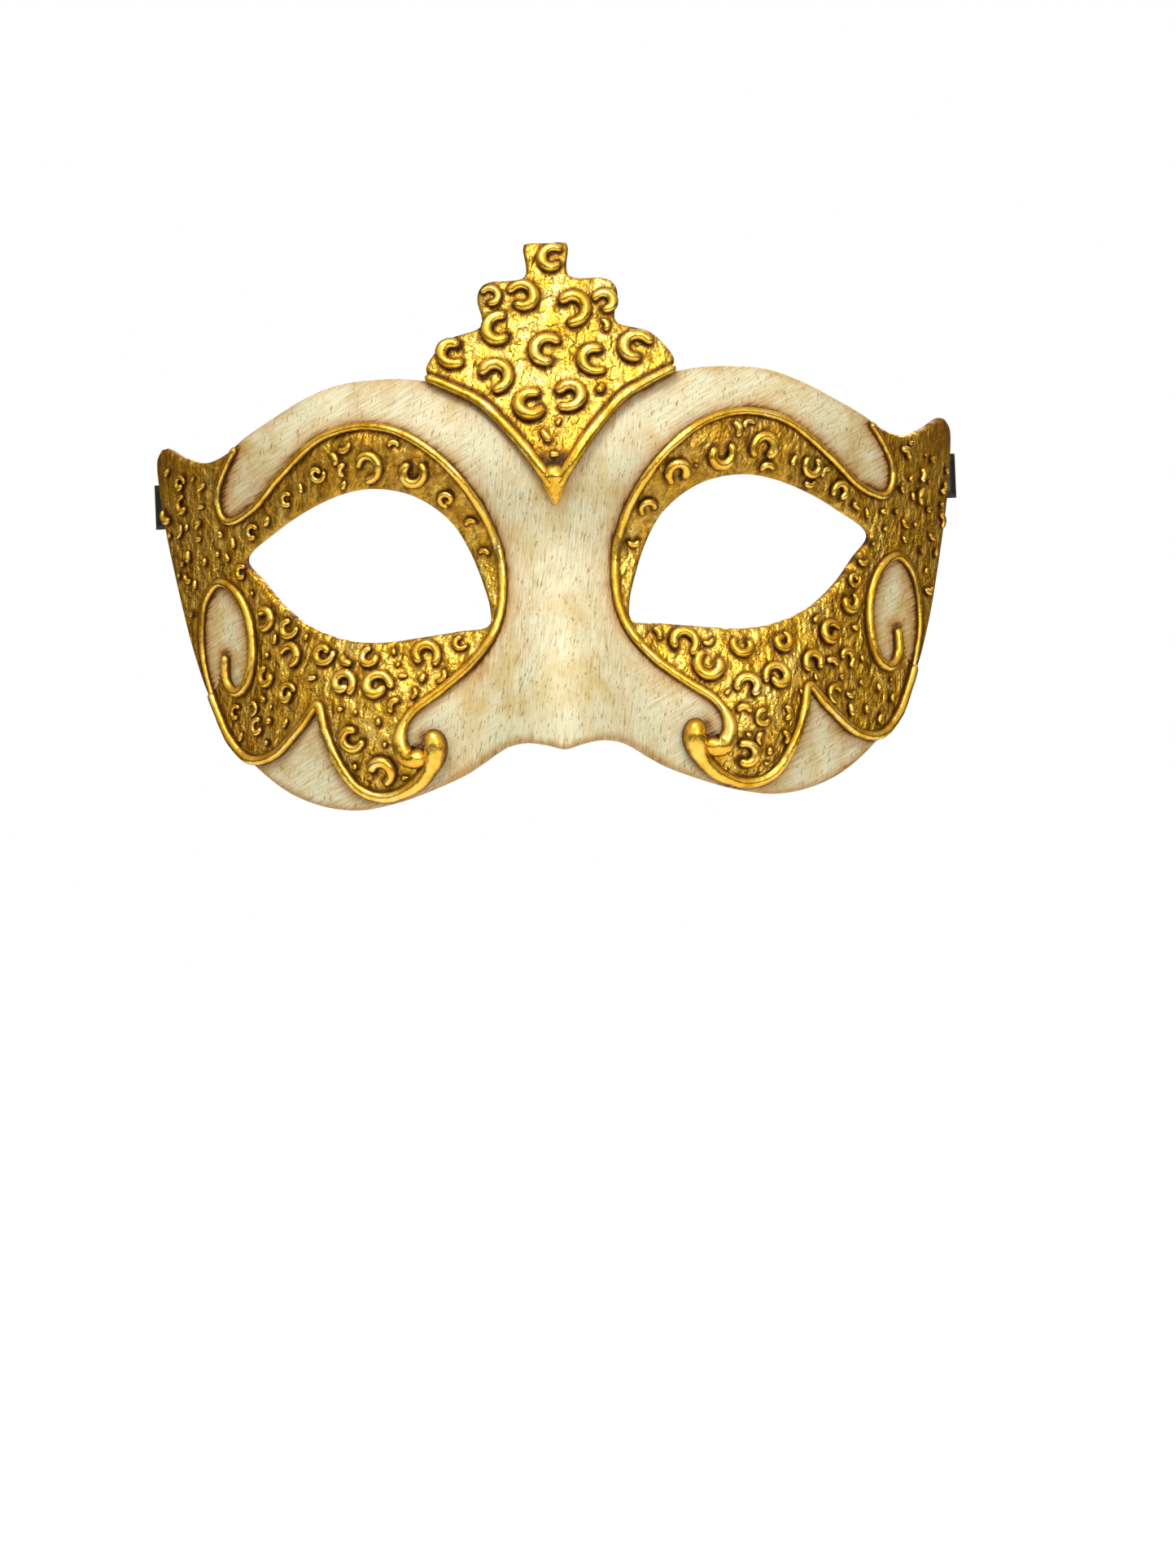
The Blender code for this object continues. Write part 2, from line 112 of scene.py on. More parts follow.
# Outlines and routes, (x, z) on the wearer's left side; the other side mirrors them
SHELL_OUTLINE = [
    (0, 40.5), (13, 41), (26.2, 41.9), (33.5, 42.8), (40.9, 42.8), (48.6, 41.9), (56.3, 39),
    (63.8, 34.8), (69.6, 31.2), (74.5, 27.4), (79.2, 25.9), (83.8, 27.4), (87.7, 29.7), (89.6, 28.4),
    (90.2, 24.6), (89, 12.9), (87.6, 4), (85, -9.5), (83, -18), (80.5, -26), (77, -33), (73, -39.5),
    (68.5, -44.5), (62.3, -49.4), (55, -52.6), (47.3, -53.8), (39.7, -52.8), (32.4, -50.7),
    (23.8, -47.2), (19.4, -44.6), (16, -42.2), (13, -40.7), (9, -40.1), (4.5, -40.8), (0, -41.8),
]
EYE_OUTLINE = [
    (70.2, 4.0), (63.2, 9.6), (56, 13.8), (49, 16.6), (42.4, 17.8), (35.4, 17.0), (29.4, 14.4),
    (23.8, 9.7), (20.1, 3.6), (17.3, -3.8), (15.9, -9.6), (16.6, -13.4), (22.8, -14.2), (31, -15.2),
    (40, -16), (48, -15.2), (55.8, -12.2), (62, -7.2), (66.6, -1.4),
]
CREST_OUTLINE = [
    (0, 71.3), (4, 71.3), (5, 70.2), (5, 63.9), (12.5, 63.1), (14.9, 61.6), (15.6, 59), (15, 53.3),
    (21.5, 51), (24.6, 48.6), (27.0, 45.4), (27.5, 43.4), (26.0, 41.2), (21.4, 38.8), (15.9, 35.4),
    (9.5, 28.6), (5.9, 23.6), (2.6, 18.6), (0, 15.8),
]
CREST_BEAD_ROUTE = [
    (28.0, 42.7), (21, 39.4), (15.3, 36), (8.8, 29), (5.3, 24.4), (3.1, 21.2), (1.6, 18.8), (0.7, 16.6),
]
EYE_BEAD_ROUTE = [
    (71.2, 28.8), (73.4, 25.2), (75.7, 19.5), (75.4, 14.4), (73, 12.3), (67.6, 15.2), (61.9, 21.5),
    (54.2, 28.6), (48.2, 31.4), (41.3, 32.2), (34, 30.3), (27.2, 25.8), (21.2, 19.6), (16.3, 12),
    (13.4, 4.3), (12.5, -3), (13.2, -10.4), (15.8, -16.5), (20.7, -22.2), (27.1, -27.2), (33.4, -31.6),
    (36.2, -35.4), (36.9, -39.0), (35.4, -42.0), (33.0, -42.0), (32.4, -40.2),
]
LOBE_BEAD_ROUTE = [
    (31.4, -37.6), (29.6, -38.4), (29.0, -40.6), (30.2, -44.4), (34.0, -48.6), (40.4, -50.9), (46.6, -48.7),
    (51.2, -42.0), (53.7, -35.0), (55.0, -29.6), (58.9, -34.2), (65.0, -40.2), (70.8, -41.2), (75.1, -36.6),
    (77.8, -30.0), (79.2, -25.8),
]
SWIRL_BEAD_ROUTE = [
    (78.7, -27.0), (80.4, -19), (80.6, -11), (79.4, -5), (76.2, -1.2), (72.3, -3.8), (69.7, -10.2),
    (69.4, -18.2), (70.9, -24.2), (73.5, -26.0), (75.5, -23.2), (75.5, -17.4),
]
# Where gold meets ivory: the eye bead, the lobe bead, then out past the temple's edge and back
GILT_BORDER = EYE_BEAD_ROUTE[:-2] + LOBE_BEAD_ROUTE[1:-1] + [(82, -34), (99, -30), (99, 40), (72, 36)]

SIDES = ((1, "left"), (-1, "right"))       # the wearer's, and the sign of X there
FACE_CURL_COUNTS, CREST_CURL_COUNT = {"cheek": 7, "brow": 3, "temple": 2}, 14

# Each kind of bead: its route, radius, ground, widths along it, and the nodes it stands for
BEADS = {
    "crest_bead": (
        CREST_BEAD_ROUTE, CREST_BEAD_RADIUS, CREST_BEAD_GROUND,
        [(0, 0.6), (0.06, 0.8), (0.6, 0.95), (0.85, 1.05), (1, 0.9)], ["crest_bead"],
    ),
    "eye_bead": (
        EYE_BEAD_ROUTE, BEAD_RADIUS, 0.0, [(0, 0.8), (0.92, 1.0), (0.96, 1.8), (1, 2.7)], ["eye_bead"],
    ),
    "lobe_bead": (
        LOBE_BEAD_ROUTE, BEAD_RADIUS, 0.0,
        [(0, 2.6), (0.05, 2.6), (0.10, 1.9), (0.20, 1.1), (1, 0.95)], ["lobe_bead", "scroll_bulb"],
    ),
    "temple_bead": (
        SWIRL_BEAD_ROUTE, SWIRL_BEAD_RADIUS, 0.0,
        [(0, 0.7), (0.3, 0.8), (0.55, 1.1), (1, 1.2)], ["temple_bead"],
    ),
}

# Piped strokes by shape: turns, where the line starts and ends as shares of the outer radius, cord radius
HOOK, CURL, ARC, DAB = "hook", "curl", "arc", "dab"
STROKES = {
    HOOK: (0.80, 0.52, 0.88, 0.28),
    CURL: (1.10, 0.30, 0.88, 0.26),
    ARC: (0.46, 0.66, 0.86, 0.34),
    DAB: (0.20, 0.60, 0.60, 0.50),
}
STROKE_POINTS_PER_TURN, FEWEST_POINTS = 22, 4
# How much one stroke differs from the next
TURN_SPREAD, REACH_SPREAD, TILT_SPREAD, WIDTH_SPREAD = (0.92, 1.08), 0.05, 8, (0.94, 1.10)
ENDS_WIDTH, MIDDLE_SWELL, SWELL_LEAN = 0.92, 0.34, 0.8
DAB_LENGTHS, DAB_START_WIDTH, DAB_TAPERS = (1.0, 2.0), 1.15, (0.2, 0.6)
CORD_UNEVEN_WIDTH = 0.35
WIDTH_LUMPS, SURFACE_LUMPS = 190.0, 620.0  # noise scales to the metre: lumps of about 5 and 1.6 mm
# Fillers: the range of their radii and the gap left round them, by shape
FILLERS = {ARC: (1.5, 2.3, 0.3), DAB: (1.2, 1.7, 0.4)}
FILLER_TRIES, FILLER_X, FILLER_Z = 2600, (12, 90), (-52, 34)
ONLY_ARCS_X, ARC_SHARE = 60, 0.75          # nearer the middle than this, every filler is an arc
# What a filler keeps clear of beads and edges, more on the steep side of the temple
TEMPLE_EDGE_X, TEMPLE_EDGE_GAP, FILLER_EDGE_GAP = 74, 2.0, 1.1

# Brown glaze on the gilding and wax on the ivory, from 0, wiped clean, to 1, which also paint shade at the
# feet of beads and strokes, on the cords' low flanks and over the brows. A fade is in millimetres
BEAD_FOOT, CREST_BEAD_FOOT = 0.9, 1.1      # half a bead's width on the ground
GILT_AT_BEAD, GILT_BEAD_FADE, IVORY_AT_BEAD, IVORY_BEAD_FADE = 0.85, 0.7, 0.95, 1.9
CREST_AT_BEAD, CREST_BEAD_FADE = 0.9, 0.6
IVORY_HAZE, NOSE_HAZE, HAZE_FADE = 0.30, 0.22, 6.0
AT_RIM, NOSE_EDGE_WAX, RIM_FADE = 0.35, 0.30, 0.7
GROUND_AT_STROKE, CREST_AT_STROKE, STROKE_FADE = 0.88, 0.92, 0.75
STROKE_FOOT = 1.05                         # share of a cord's radius
STROKE_MIDDLE, CREST_STROKE_MIDDLE = 0.6, 0.7   # about how high a stroke's middle is above its ground
# Glaze and painted shade on the cords: dark low on their flanks and clean on top, by height
CORD_GLAZE_AND_SHADE, CORD_GLAZE_AND_SHADE_START, CORD_GLAZE_AND_SHADE_END = 0.95, 0.7, 1.6   # heights as shares of the cord's radius
CHEEK_GLAZE, OUTER_CHEEK_GLAZE, BROW_PAINTED_SHADE, MOST_GLAZE_AND_SHADE = 0.04, 0.04, 0.38, 0.42
TEMPLE_LESS_DARKENING, HORN_DARKENING, CREST_V_GLAZE, CREST_POINT_GLAZE = 0.22, 0.40, 0.30, 0.60
INSIDE_GLAZE, CREST_BACK_GLAZE = 0.6, 0.8
# Where a finish changes: distances from the middle (out), heights (up, or down with the sign turned), and
# depths in a sheet's wall from 0 in front to 1 behind
NOSE_IN, OUTER_CHEEK_OUT, TEMPLE_OUT, HORN_OUT = (-34, -18), (56, 76), (62, 76), (78, 86)
BROW_UP, TEMPLE_UP, HORN_UP = (-2, 12), (-10, 4), (14, 24)
NOSE_DOWN, NOSE_EDGE_DOWN, CREST_V_DOWN, CREST_POINT_DOWN = (-24, 12), (34, 38), (-46, -26), (-26, -22)
INSIDE_DEPTH, CREST_BACK_DEPTH = (0.3, 0.7), (0.5, 1.0)
DETAIL_REACH = 4.5                         # how far from a bead the shell's mesh is still fine

# Random draws
LEFT_FILLER_SEED, RIGHT_FILLER_SEED = 31, 32
LEFT_STROKE_SEED, RIGHT_STROKE_SEED, CREST_STROKE_SEED = 41, 42, 43
LEFT_PATCH_SEED, RIGHT_PATCH_SEED = 21, 22

# Camera, floor and light
LENS, SENSOR_WIDTH, FRAME_WIDTH = 600.0, 36.0, 350.4
CAMERA_X, CAMERA_Z, CAMERA_ROLL = 0.0047, -0.0497, -2.3   # metres and degrees
FLOOR_HALF_SIZE, FLOOR_Z, FLOOR_FADE = 30.0, -0.30, (0.50, 1.00)   # metres

# Each stroke is (x, z, outer radius, direction of its open side in degrees, shape)
CREST_STROKES = [
    (1.3, 67.3, 3.3, 0, HOOK), (-12.4, 59.4, 2.5, 200, HOOK), (-5.4, 59.1, 3.7, 190, HOOK),
    (5.1, 56.4, 4.1, 200, HOOK), (12.4, 57.2, 3.0, 200, HOOK), (-10.8, 52.0, 3.9, 20, HOOK),
    (-21.2, 47.4, 3.8, 0, HOOK), (-0.7, 46.7, 4.0, 350, HOOK), (18.8, 46.6, 3.9, 340, HOOK),
    (9.8, 44.8, 3.9, 0, HOOK), (-12.5, 41.6, 4.4, 230, HOOK), (-4.6, 34.2, 4.1, 20, HOOK),
    (3.9, 36.4, 4.0, 210, HOOK), (11.0, 37.6, 2.0, 60, DAB), (-1.8, 27.6, 2.0, 120, DAB),
    (0.2, 23.8, 1.5, 0, DAB), (11.6, 52.0, 1.7, 200, ARC), (1.6, 30.4, 1.0, 60, DAB),
]
LEFT_STROKES = [
    (27.6, 19.4, 3.0, 270, HOOK), (37.1, 23.0, 3.6, 90, HOOK), (47.0, 24.0, 3.4, 250, HOOK),
    (47.4, 18.9, 2.0, 270, ARC), (53.4, 21.0, 1.5, 60, DAB), (57.6, 19.6, 2.8, 90, HOOK),
    (56.8, 16.4, 1.7, 90, ARC), (63.5, 13.6, 2.7, 240, HOOK), (69.4, 8.6, 1.4, 100, DAB),
    (31.6, 20.6, 1.0, 0, DAB), (20.6, 11.8, 2.2, 290, HOOK), (17.0, 4.6, 1.6, 100, ARC),
    (80.0, 24.0, 1.2, 0, DAB), (84.6, 20.1, 1.6, 0, DAB), (83.3, 21.2, 1.1, 90, DAB),
    (79.7, 16.2, 1.2, 45, DAB), (83.8, 15.2, 1.2, 0, DAB), (79.9, 12.0, 1.2, 90, DAB),
    (83.5, 8.9, 1.4, 0, DAB), (80.2, 5.6, 1.4, 60, DAB), (76.1, 8.7, 1.2, 0, DAB),
    (77.6, 2.4, 1.2, 120, DAB), (73.6, 5.0, 1.2, 30, DAB), (81.4, -0.2, 1.7, 0, DAB),
    (70.6, 1.6, 1.2, 30, DAB), (68.2, -1.4, 1.7, 90, ARC), (65.9, -6.2, 2.0, 0, CURL),
    (64.6, -11.4, 2.8, 90, HOOK), (57.0, -14.7, 1.4, 45, DAB), (60.0, -18.2, 3.3, 20, CURL),
    (65.6, -17.1, 1.5, 170, DAB), (27.0, -19.0, 3.5, 265, HOOK), (32.4, -18.4, 1.6, 110, ARC),
    (33.0, -24.2, 3.7, 80, HOOK), (40.4, -20.2, 2.9, 90, HOOK), (49.0, -19.7, 3.0, 60, CURL),
    (56.0, -24.6, 2.9, 270, HOOK), (56.4, -27.9, 1.1, 90, DAB), (47.8, -27.6, 3.4, 190, CURL),
    (41.3, -29.6, 3.3, 240, HOOK), (63.4, -23.8, 2.5, 240, HOOK), (62.2, -28.0, 1.3, 0, DAB),
    (67.0, -24.0, 1.2, 90, DAB), (60.6, -31.6, 2.3, 320, HOOK), (70.4, -30.6, 1.6, 90, DAB),
    (66.4, -29.4, 1.3, 20, DAB), (73.4, -33.0, 1.3, 60, DAB), (63.9, -35.4, 1.6, 100, DAB),
    (67.4, -35.4, 1.4, 80, DAB), (70.4, -37.6, 1.4, 60, DAB), (40.2, -35.2, 1.9, 270, ARC),
    (44.4, -36.4, 2.2, 30, HOOK), (49.0, -35.4, 1.8, 180, ARC), (40.0, -44.4, 3.2, 170, HOOK),
    (45.4, -43.8, 1.5, 80, DAB), (48.4, -41.2, 1.8, 200, ARC), (44.8, -46.6, 1.0, 0, DAB),
    (20.6, -17.0, 1.8, 200, ARC), (36.8, -30.4, 1.1, 40, DAB), (41.0, -40.0, 1.1, 0, DAB),
    (53.0, -31.0, 1.0, 90, DAB), (73.4, -28.9, 1.0, 20, DAB),
]
RIGHT_STROKES = [
    (-41.5, 23.4, 3.5, 220, HOOK), (-31.6, 21.6, 3.4, 75, HOOK), (-52.9, 22.2, 2.2, 0, CURL),
    (-49.6, 24.8, 1.9, 200, ARC), (-47.0, 19.4, 1.3, 60, DAB), (-56.6, 19.2, 1.3, 90, DAB),
    (-59.9, 16.6, 1.9, 0, HOOK), (-64.5, 12.1, 1.5, 60, DAB), (-68.0, 9.6, 1.9, 0, HOOK),
    (-24.2, 15.4, 2.2, 250, CURL), (-19.0, 9.4, 1.7, 280, ARC), (-16.2, 2.4, 1.5, 260, ARC),
    (-84.0, 21.4, 2.1, 0, CURL), (-83.6, 16.6, 2.2, 30, HOOK), (-80.2, 8.8, 1.2, 0, DAB),
    (-82.8, 11.6, 1.2, 90, DAB), (-76.0, 5.2, 1.2, 80, DAB), (-72.4, 7.6, 1.4, 100, DAB),
    (-79.0, 3.6, 1.4, 80, DAB), (-70.8, 0.8, 1.9, 0, HOOK), (-68.6, -4.0, 1.1, 90, DAB),
    (-81.4, -1.4, 1.5, 90, DAB),
    (-79.4, 16.0, 1.2, 0, DAB), (-81.0, 22.4, 1.1, 30, DAB), (-82.6, 5.0, 1.6, 90, DAB),
    (-65.9, -9.6, 2.9, 200, HOOK), (-60.6, -12.0, 2.5, 30, HOOK), (-60.4, -18.6, 2.9, 210, HOOK),
    (-53.0, -18.2, 3.0, 0, CURL), (-42.6, -19.6, 2.5, 60, HOOK), (-37.4, -18.4, 1.4, 100, DAB),
    (-30.4, -19.6, 3.4, 270, HOOK), (-65.8, -18.0, 1.3, 90, DAB), (-66.0, -22.9, 2.5, 60, HOOK),
    (-61.6, -26.9, 2.7, 30, CURL), (-48.9, -25.2, 3.4, 320, CURL), (-49.8, -30.8, 1.4, 0, DAB),
    (-41.4, -26.2, 3.6, 0, CURL), (-31.2, -24.6, 1.5, 60, DAB), (-35.6, -24.0, 1.3, 0, DAB),
    (-46.4, -31.6, 1.1, 90, DAB), (-47.4, -37.2, 3.2, 20, HOOK), (-41.4, -33.9, 1.5, 90, DAB),
    (-41.4, -44.8, 3.5, 240, HOOK), (-73.4, -30.6, 1.8, 0, HOOK), (-69.6, -29.6, 1.9, 200, HOOK),
    (-65.4, -29.6, 1.1, 90, DAB), (-68.6, -34.0, 2.1, 30, HOOK), (-66.6, -37.6, 1.3, 100, DAB),
    (-55.8, -23.6, 1.4, 0, DAB), (-22.4, -17.0, 1.9, 20, HOOK), (-56.8, -14.4, 1.2, 60, DAB),
    (-62.2, -33.4, 1.4, 60, DAB), (-72.4, -36.0, 1.3, 60, DAB), (-40.2, -39.0, 1.1, 30, DAB),
    (-47.0, -43.6, 1.3, 80, DAB), (-36.0, -46.6, 1.1, 0, DAB), (-36.6, -21.4, 1.0, 40, DAB),
]


# ---------------------------------------------------------------- the face

def smooth_step(value, low, high):
    t = np.clip((value - low) / (high - low), 0.0, 1.0)
    return t * t * (3.0 - 2.0 * t)


def bump(value, centre, spread):
    return np.exp(-((value - centre) / spread) ** 2)


def relief(x, z):
    """How far back the wrapped, modelled face lies at (x, z), before it is moved to the origin."""
    x = np.abs(x)
    wrap = WRAP_DEPTH * (1.0 - np.sqrt(np.maximum(1.0 - (x / WRAP_HALF_WIDTH) ** 2, WRAP_LIMIT)))
    lean = LEAN * np.maximum(z - LEAN_START_Z, 0.0) ** 2
    down_nose = 1.0 - smooth_step(z, NOSE_TIP_Z, NOSE_TOP_Z)
    nose_width = NOSE_TOP_HALF_WIDTH + (NOSE_TIP_HALF_WIDTH - NOSE_TOP_HALF_WIDTH) * down_nose
    nose = NOSE_HEIGHT * down_nose * bump(x, 0.0, nose_width)
    brow_line = BROW_PEAK[1] - BROW_CURVE * (x - BROW_PEAK[0]) ** 2
    brow = BROW_HEIGHT * bump(z, brow_line, BROW_SPREAD) * (1.0 - smooth_step(x, *BROW_FADE))
    cheek = CHEEK_HEIGHT * bump(x, CHEEK_CENTRE[0], CHEEK_SPREAD[0])
    cheek = cheek * bump(z, CHEEK_CENTRE[1], CHEEK_SPREAD[1])
    socket = SOCKET_DEPTH * bump(x, SOCKET_CENTRE[0], SOCKET_SPREAD[0])
    socket = socket * bump(z, SOCKET_CENTRE[1], SOCKET_SPREAD[1])
    return wrap + lean + socket - nose - brow - cheek


def face_depth(x, z):
    """Y of the mask's outer face. The inner face is at 0 in the middle of the nose bridge."""
    return relief(x, z) - relief(0.0, 0.0) - SHELL_THICKNESS


def face_normals(x, z):
    step = SLOPE_STEP
    slope_x = (face_depth(x + step, z) - face_depth(x - step, z)) / (2 * step)
    slope_z = (face_depth(x, z + step) - face_depth(x, z - step)) / (2 * step)
    normals = np.stack([slope_x, -np.ones_like(slope_x), slope_z], axis=-1)
    return normals / np.linalg.norm(normals, axis=-1, keepdims=True)


def above_face(points, height):
    """Points that height above the outer face, on the normals at the given (x, z)."""
    x, z = points[:, 0], points[:, 1]
    return np.stack([x, face_depth(x, z), z], axis=1) + np.reshape(height, (-1, 1)) * face_normals(x, z)


def seen_at(points, height):
    """The points that height above the outer face which look to be at (x, z) from the front."""
    points = np.asarray(points, float)
    foot = points.copy()
    for _ in range(SEEN_ROUNDS):
        foot += points - above_face(foot, height)[:, [0, 2]]
    return above_face(foot, height)


# ---------------------------------------------------------------- routes and outlines

def smooth_route(points, step, closed=False):
    """Points about a step apart on a Catmull-Rom curve through the given points."""
    points = np.asarray(points, float)
    count = len(points)
    route = []
    for i in range(count if closed else count - 1):
        ring = [(i + k) % count if closed else min(max(i + k, 0), count - 1) for k in (-1, 0, 1, 2)]
        before, start, end, after = points[ring]
        pieces = max(1, round(float(np.linalg.norm(end - start)) / step))
        for t in np.arange(pieces) / pieces:
            route.append(0.5 * (
                2 * start + (end - before) * t
                + (2 * before - 5 * start + 4 * end - after) * t ** 2
                + (3 * start - before - 3 * end + after) * t ** 3
            ))
    if not closed:
        route.append(points[-1])
    return np.array(route)


def mirrored(half):
    """A closed outline from its +X half, whose first and last points are in the middle."""
    return list(half) + [(-x, z) for x, z in reversed(half[1:-1])]


def drawn_in(outline, distance):
    """A closed outline moved inwards, towards its own middle side, by a distance."""
    area = np.sum(outline[:, 0] * np.roll(outline[:, 1], -1) - np.roll(outline[:, 0], -1) * outline[:, 1])
    tangent = np.roll(outline, -1, axis=0) - np.roll(outline, 1, axis=0)
    tangent /= np.linalg.norm(tangent, axis=1, keepdims=True)
    inward = np.stack([-tangent[:, 1], tangent[:, 0]], axis=1) * np.sign(area)
    return outline + distance * inward


def is_inside(points, outline):
    """For each point, whether it is inside a closed outline."""
    outline = np.asarray(outline, float)
    x, z = points[:, 0], points[:, 1]
    inside = np.zeros(len(points), bool)
    for (x1, z1), (x2, z2) in zip(outline, np.roll(outline, -1, axis=0)):
        if z1 != z2:
            inside ^= ((z1 > z) != (z2 > z)) & (x < x1 + (z - z1) * (x2 - x1) / (z2 - z1))
    return inside


def distance_to(points, route, closed=False):
    """For each point, the distance to a line through the route's points."""
    nearest = np.full(len(points), np.inf)
    ends = np.roll(route, -1, axis=0) if closed else route[1:]
    for start, end in zip(route, ends):
        along = end - start
        t = np.clip(((points - start) @ along) / max(along @ along, 1e-12), 0.0, 1.0)
        nearest = np.minimum(nearest, np.linalg.norm(points - start - t[:, None] * along, axis=1))
    return nearest


def flipped(points):
    return np.asarray(points, float) * (-1.0, 1.0)


# ---------------------------------------------------------------- making meshes

def add_piece(name, mesh):
    piece = bpy.data.objects.new(name, mesh)
    bpy.context.scene.collection.objects.link(piece)
    return piece


def make_mesh(name, verts, faces):
    mesh = bpy.data.meshes.new(name)
    mesh.from_pydata([tuple(v) for v in np.asarray(verts) * MM], [], faces)
    mesh.update()
    return mesh


def evaluated_mesh(piece):
    """A new plain mesh of the piece as its modifiers leave it."""
    return bpy.data.meshes.new_from_object(piece.evaluated_get(bpy.context.evaluated_depsgraph_get()))


def make_strip(mesh, thickness, material):
    """A smooth piece of cloth or paper from a flat mesh, with half of its thickness on either side."""
    mesh.shade_smooth()
    piece = add_piece(mesh.name, mesh)
    wall = piece.modifiers.new("wall", "SOLIDIFY")
    wall.thickness, wall.offset = thickness * MM, 0.0
    piece.data = evaluated_mesh(piece)
    piece.modifiers.clear()
    piece.data.materials.append(material)
    return piece


def set_attribute(mesh, name, values):
    attribute = mesh.attributes.get(name) or mesh.attributes.new(name, "FLOAT", "POINT")
    attribute.data.foreach_set("value", np.asarray(values, np.float32))


def lattice(outline, holes, spacing, keep=None):
    """Points of a triangular lattice inside the outline, clear of its edges."""
    low, high = outline.min(axis=0), outline.max(axis=0)
    row_height = spacing * math.sqrt(3) / 2
    rows = np.arange(math.floor(low[1] / row_height), math.ceil(high[1] / row_height) + 1)
    columns = np.arange(math.floor(low[0] / spacing) - 1, math.ceil(high[0] / spacing) + 2)
    row, column = (grid.ravel() for grid in np.meshgrid(rows, columns, indexing="ij"))
    points = np.stack([(column + 0.5 * (row % 2)) * spacing, row * row_height], axis=1)
    points = points[is_inside(points, outline)]
    for hole in holes:
        points = points[~is_inside(points, hole)]
    if keep is not None:
        points = points[keep(points)]
    for loop in (outline, *holes):
        points = points[distance_to(points, loop, closed=True) > 0.5 * spacing]
    return points


def curved_sheet(name, outline, holes, inner_points, height, thickness):
    """A sheet of even thickness on the face, with rounded edges.

    Returns the object, the (x, z) of every vertex, and how deep in the wall it lies: 0 in front, 1 behind.
    """
    loops = [outline, *holes]
    corners, edges = [], []
    for loop in loops:
        start = len(corners)
        corners += list(loop)
        edges += [(start + i, start + (i + 1) % len(loop)) for i in range(len(loop))]
    corners += list(inner_points)
    flat, _, faces, *_ = delaunay_2d_cdt([Vector(p) for p in corners], edges, [], 0, MERGE_DISTANCE)
    flat = np.array([tuple(p) for p in flat])
    faces = np.array([face for face in faces if len(face) == 3])
    middles = flat[faces].mean(axis=1)
    kept = is_inside(middles, outline)
    for hole in holes:
        kept &= ~is_inside(middles, hole)
    faces = faces[kept]
    used, faces = np.unique(faces, return_inverse=True)
    flat, faces = flat[used], faces.reshape(-1, 3)
    # Seen from the front, +X is right and +Z is up, so a face that turns that way looks towards -Y
    a, b, c = (flat[faces[:, k]] for k in range(3))
    turn = (b[:, 0] - a[:, 0]) * (c[:, 1] - a[:, 1]) - (b[:, 1] - a[:, 1]) * (c[:, 0] - a[:, 0])
    faces[turn < 0] = faces[turn < 0][:, ::-1]

    count = len(flat)
    front, back = above_face(flat, height), above_face(flat, height - thickness)
    verts, where, depth = [front, back], [flat, flat], [np.zeros(count), np.ones(count)]
    polygons = [tuple(f) for f in faces] + [tuple(f[::-1] + count) for f in faces]

    # The rim: rows of vertices that go round the edge from the front to the back
    sides = np.concatenate([faces[:, [0, 1]], faces[:, [1, 2]], faces[:, [2, 0]]])
    keys = {}
    for start, end in sides:
        keys[(int(start), int(end))] = True
    border = {start: end for start, end in keys if (end, start) not in keys}
    ring = np.array(sorted(border))
    place = {vertex: i for i, vertex in enumerate(ring)}
    previous = {end: start for start, end in border.items()}
    along = front[[border[v] for v in ring]] - front[[previous[v] for v in ring]]
    normals = face_normals(flat[ring, 0], flat[ring, 1])
    outward = np.cross(along, normals)
    outward /= np.linalg.norm(outward, axis=1, keepdims=True)
    rows = [ring]
    total = 2 * count
    for angle in RIM_ANGLES:
        angle = math.radians(angle)
        across = 0.5 * (1 - math.cos(angle))
        verts.append(front[ring] * (1 - across) + back[ring] * across + RIM_BULGE * math.sin(angle) * outward)
        where.append(flat[ring])
        depth.append(np.full(len(ring), across))
        rows.append(np.arange(total, total + len(ring)))
        total += len(ring)
    rows.append(ring + count)
    for start, end in border.items():
        i, j = place[start], place[end]
        for upper, lower in zip(rows, rows[1:]):
            polygons.append((int(upper[j]), int(upper[i]), int(lower[i]), int(lower[j])))
    mesh = make_mesh(name, np.concatenate(verts), polygons)
    mesh.shade_smooth()
    return add_piece(name, mesh), np.concatenate(where), np.concatenate(depth)


def hand_made(piece, amount, size):
    """Uneven surface of something pressed by hand: vertices move along Y by a little smooth noise."""
    for vertex in piece.data.vertices:
        place = vertex.co / (size * MM)
        vertex.co.y += amount * MM * noise.noise(place)
    piece.data.update()


# ---------------------------------------------------------------- nodes

def colour(hex_value):
    """Linear red, green, blue and alpha from an sRGB hex value."""
    channels = [int(hex_value[i:i + 2], 16) / 255 for i in (1, 3, 5)]
    return (*[c / 12.92 if c <= 0.04045 else ((c + 0.055) / 1.055) ** 2.4 for c in channels], 1.0)


def fill(tree, sockets, values):
    """Gives a node's input sockets, by name or number, a plain value or a link from another socket."""
    for key, value in values.items():
        if isinstance(value, bpy.types.NodeSocket):
            tree.links.new(value, sockets[key])
        elif value is not None:
            sockets[key].default_value = value


def add_node(tree, kind, *values, inputs=None, output=0, stops=None, **settings):
    """Adds a node and gives one of its outputs. values fill its inputs in order, and inputs fills others by
    name or number. stops are a ramp's places and colours."""
    node = tree.nodes.new(kind)
    for key, value in settings.items():
        setattr(node, key, value)
    fill(tree, node.inputs, dict(enumerate(values)) | (inputs or {}))
    if stops:
        elements = node.color_ramp.elements
        while len(elements) < len(stops):
            elements.new(0.5)
        for element, (place, hex_value) in zip(elements, stops):
            element.position, element.color = place, colour(hex_value)
    return node.outputs[output] if len(node.outputs) else node


def new_material(name):
    material = bpy.data.materials.new(name)
    material.use_nodes = True
    return material, material.node_tree, material.node_tree.nodes["Principled BSDF"].inputs


# ---------------------------------------------------------------- materials

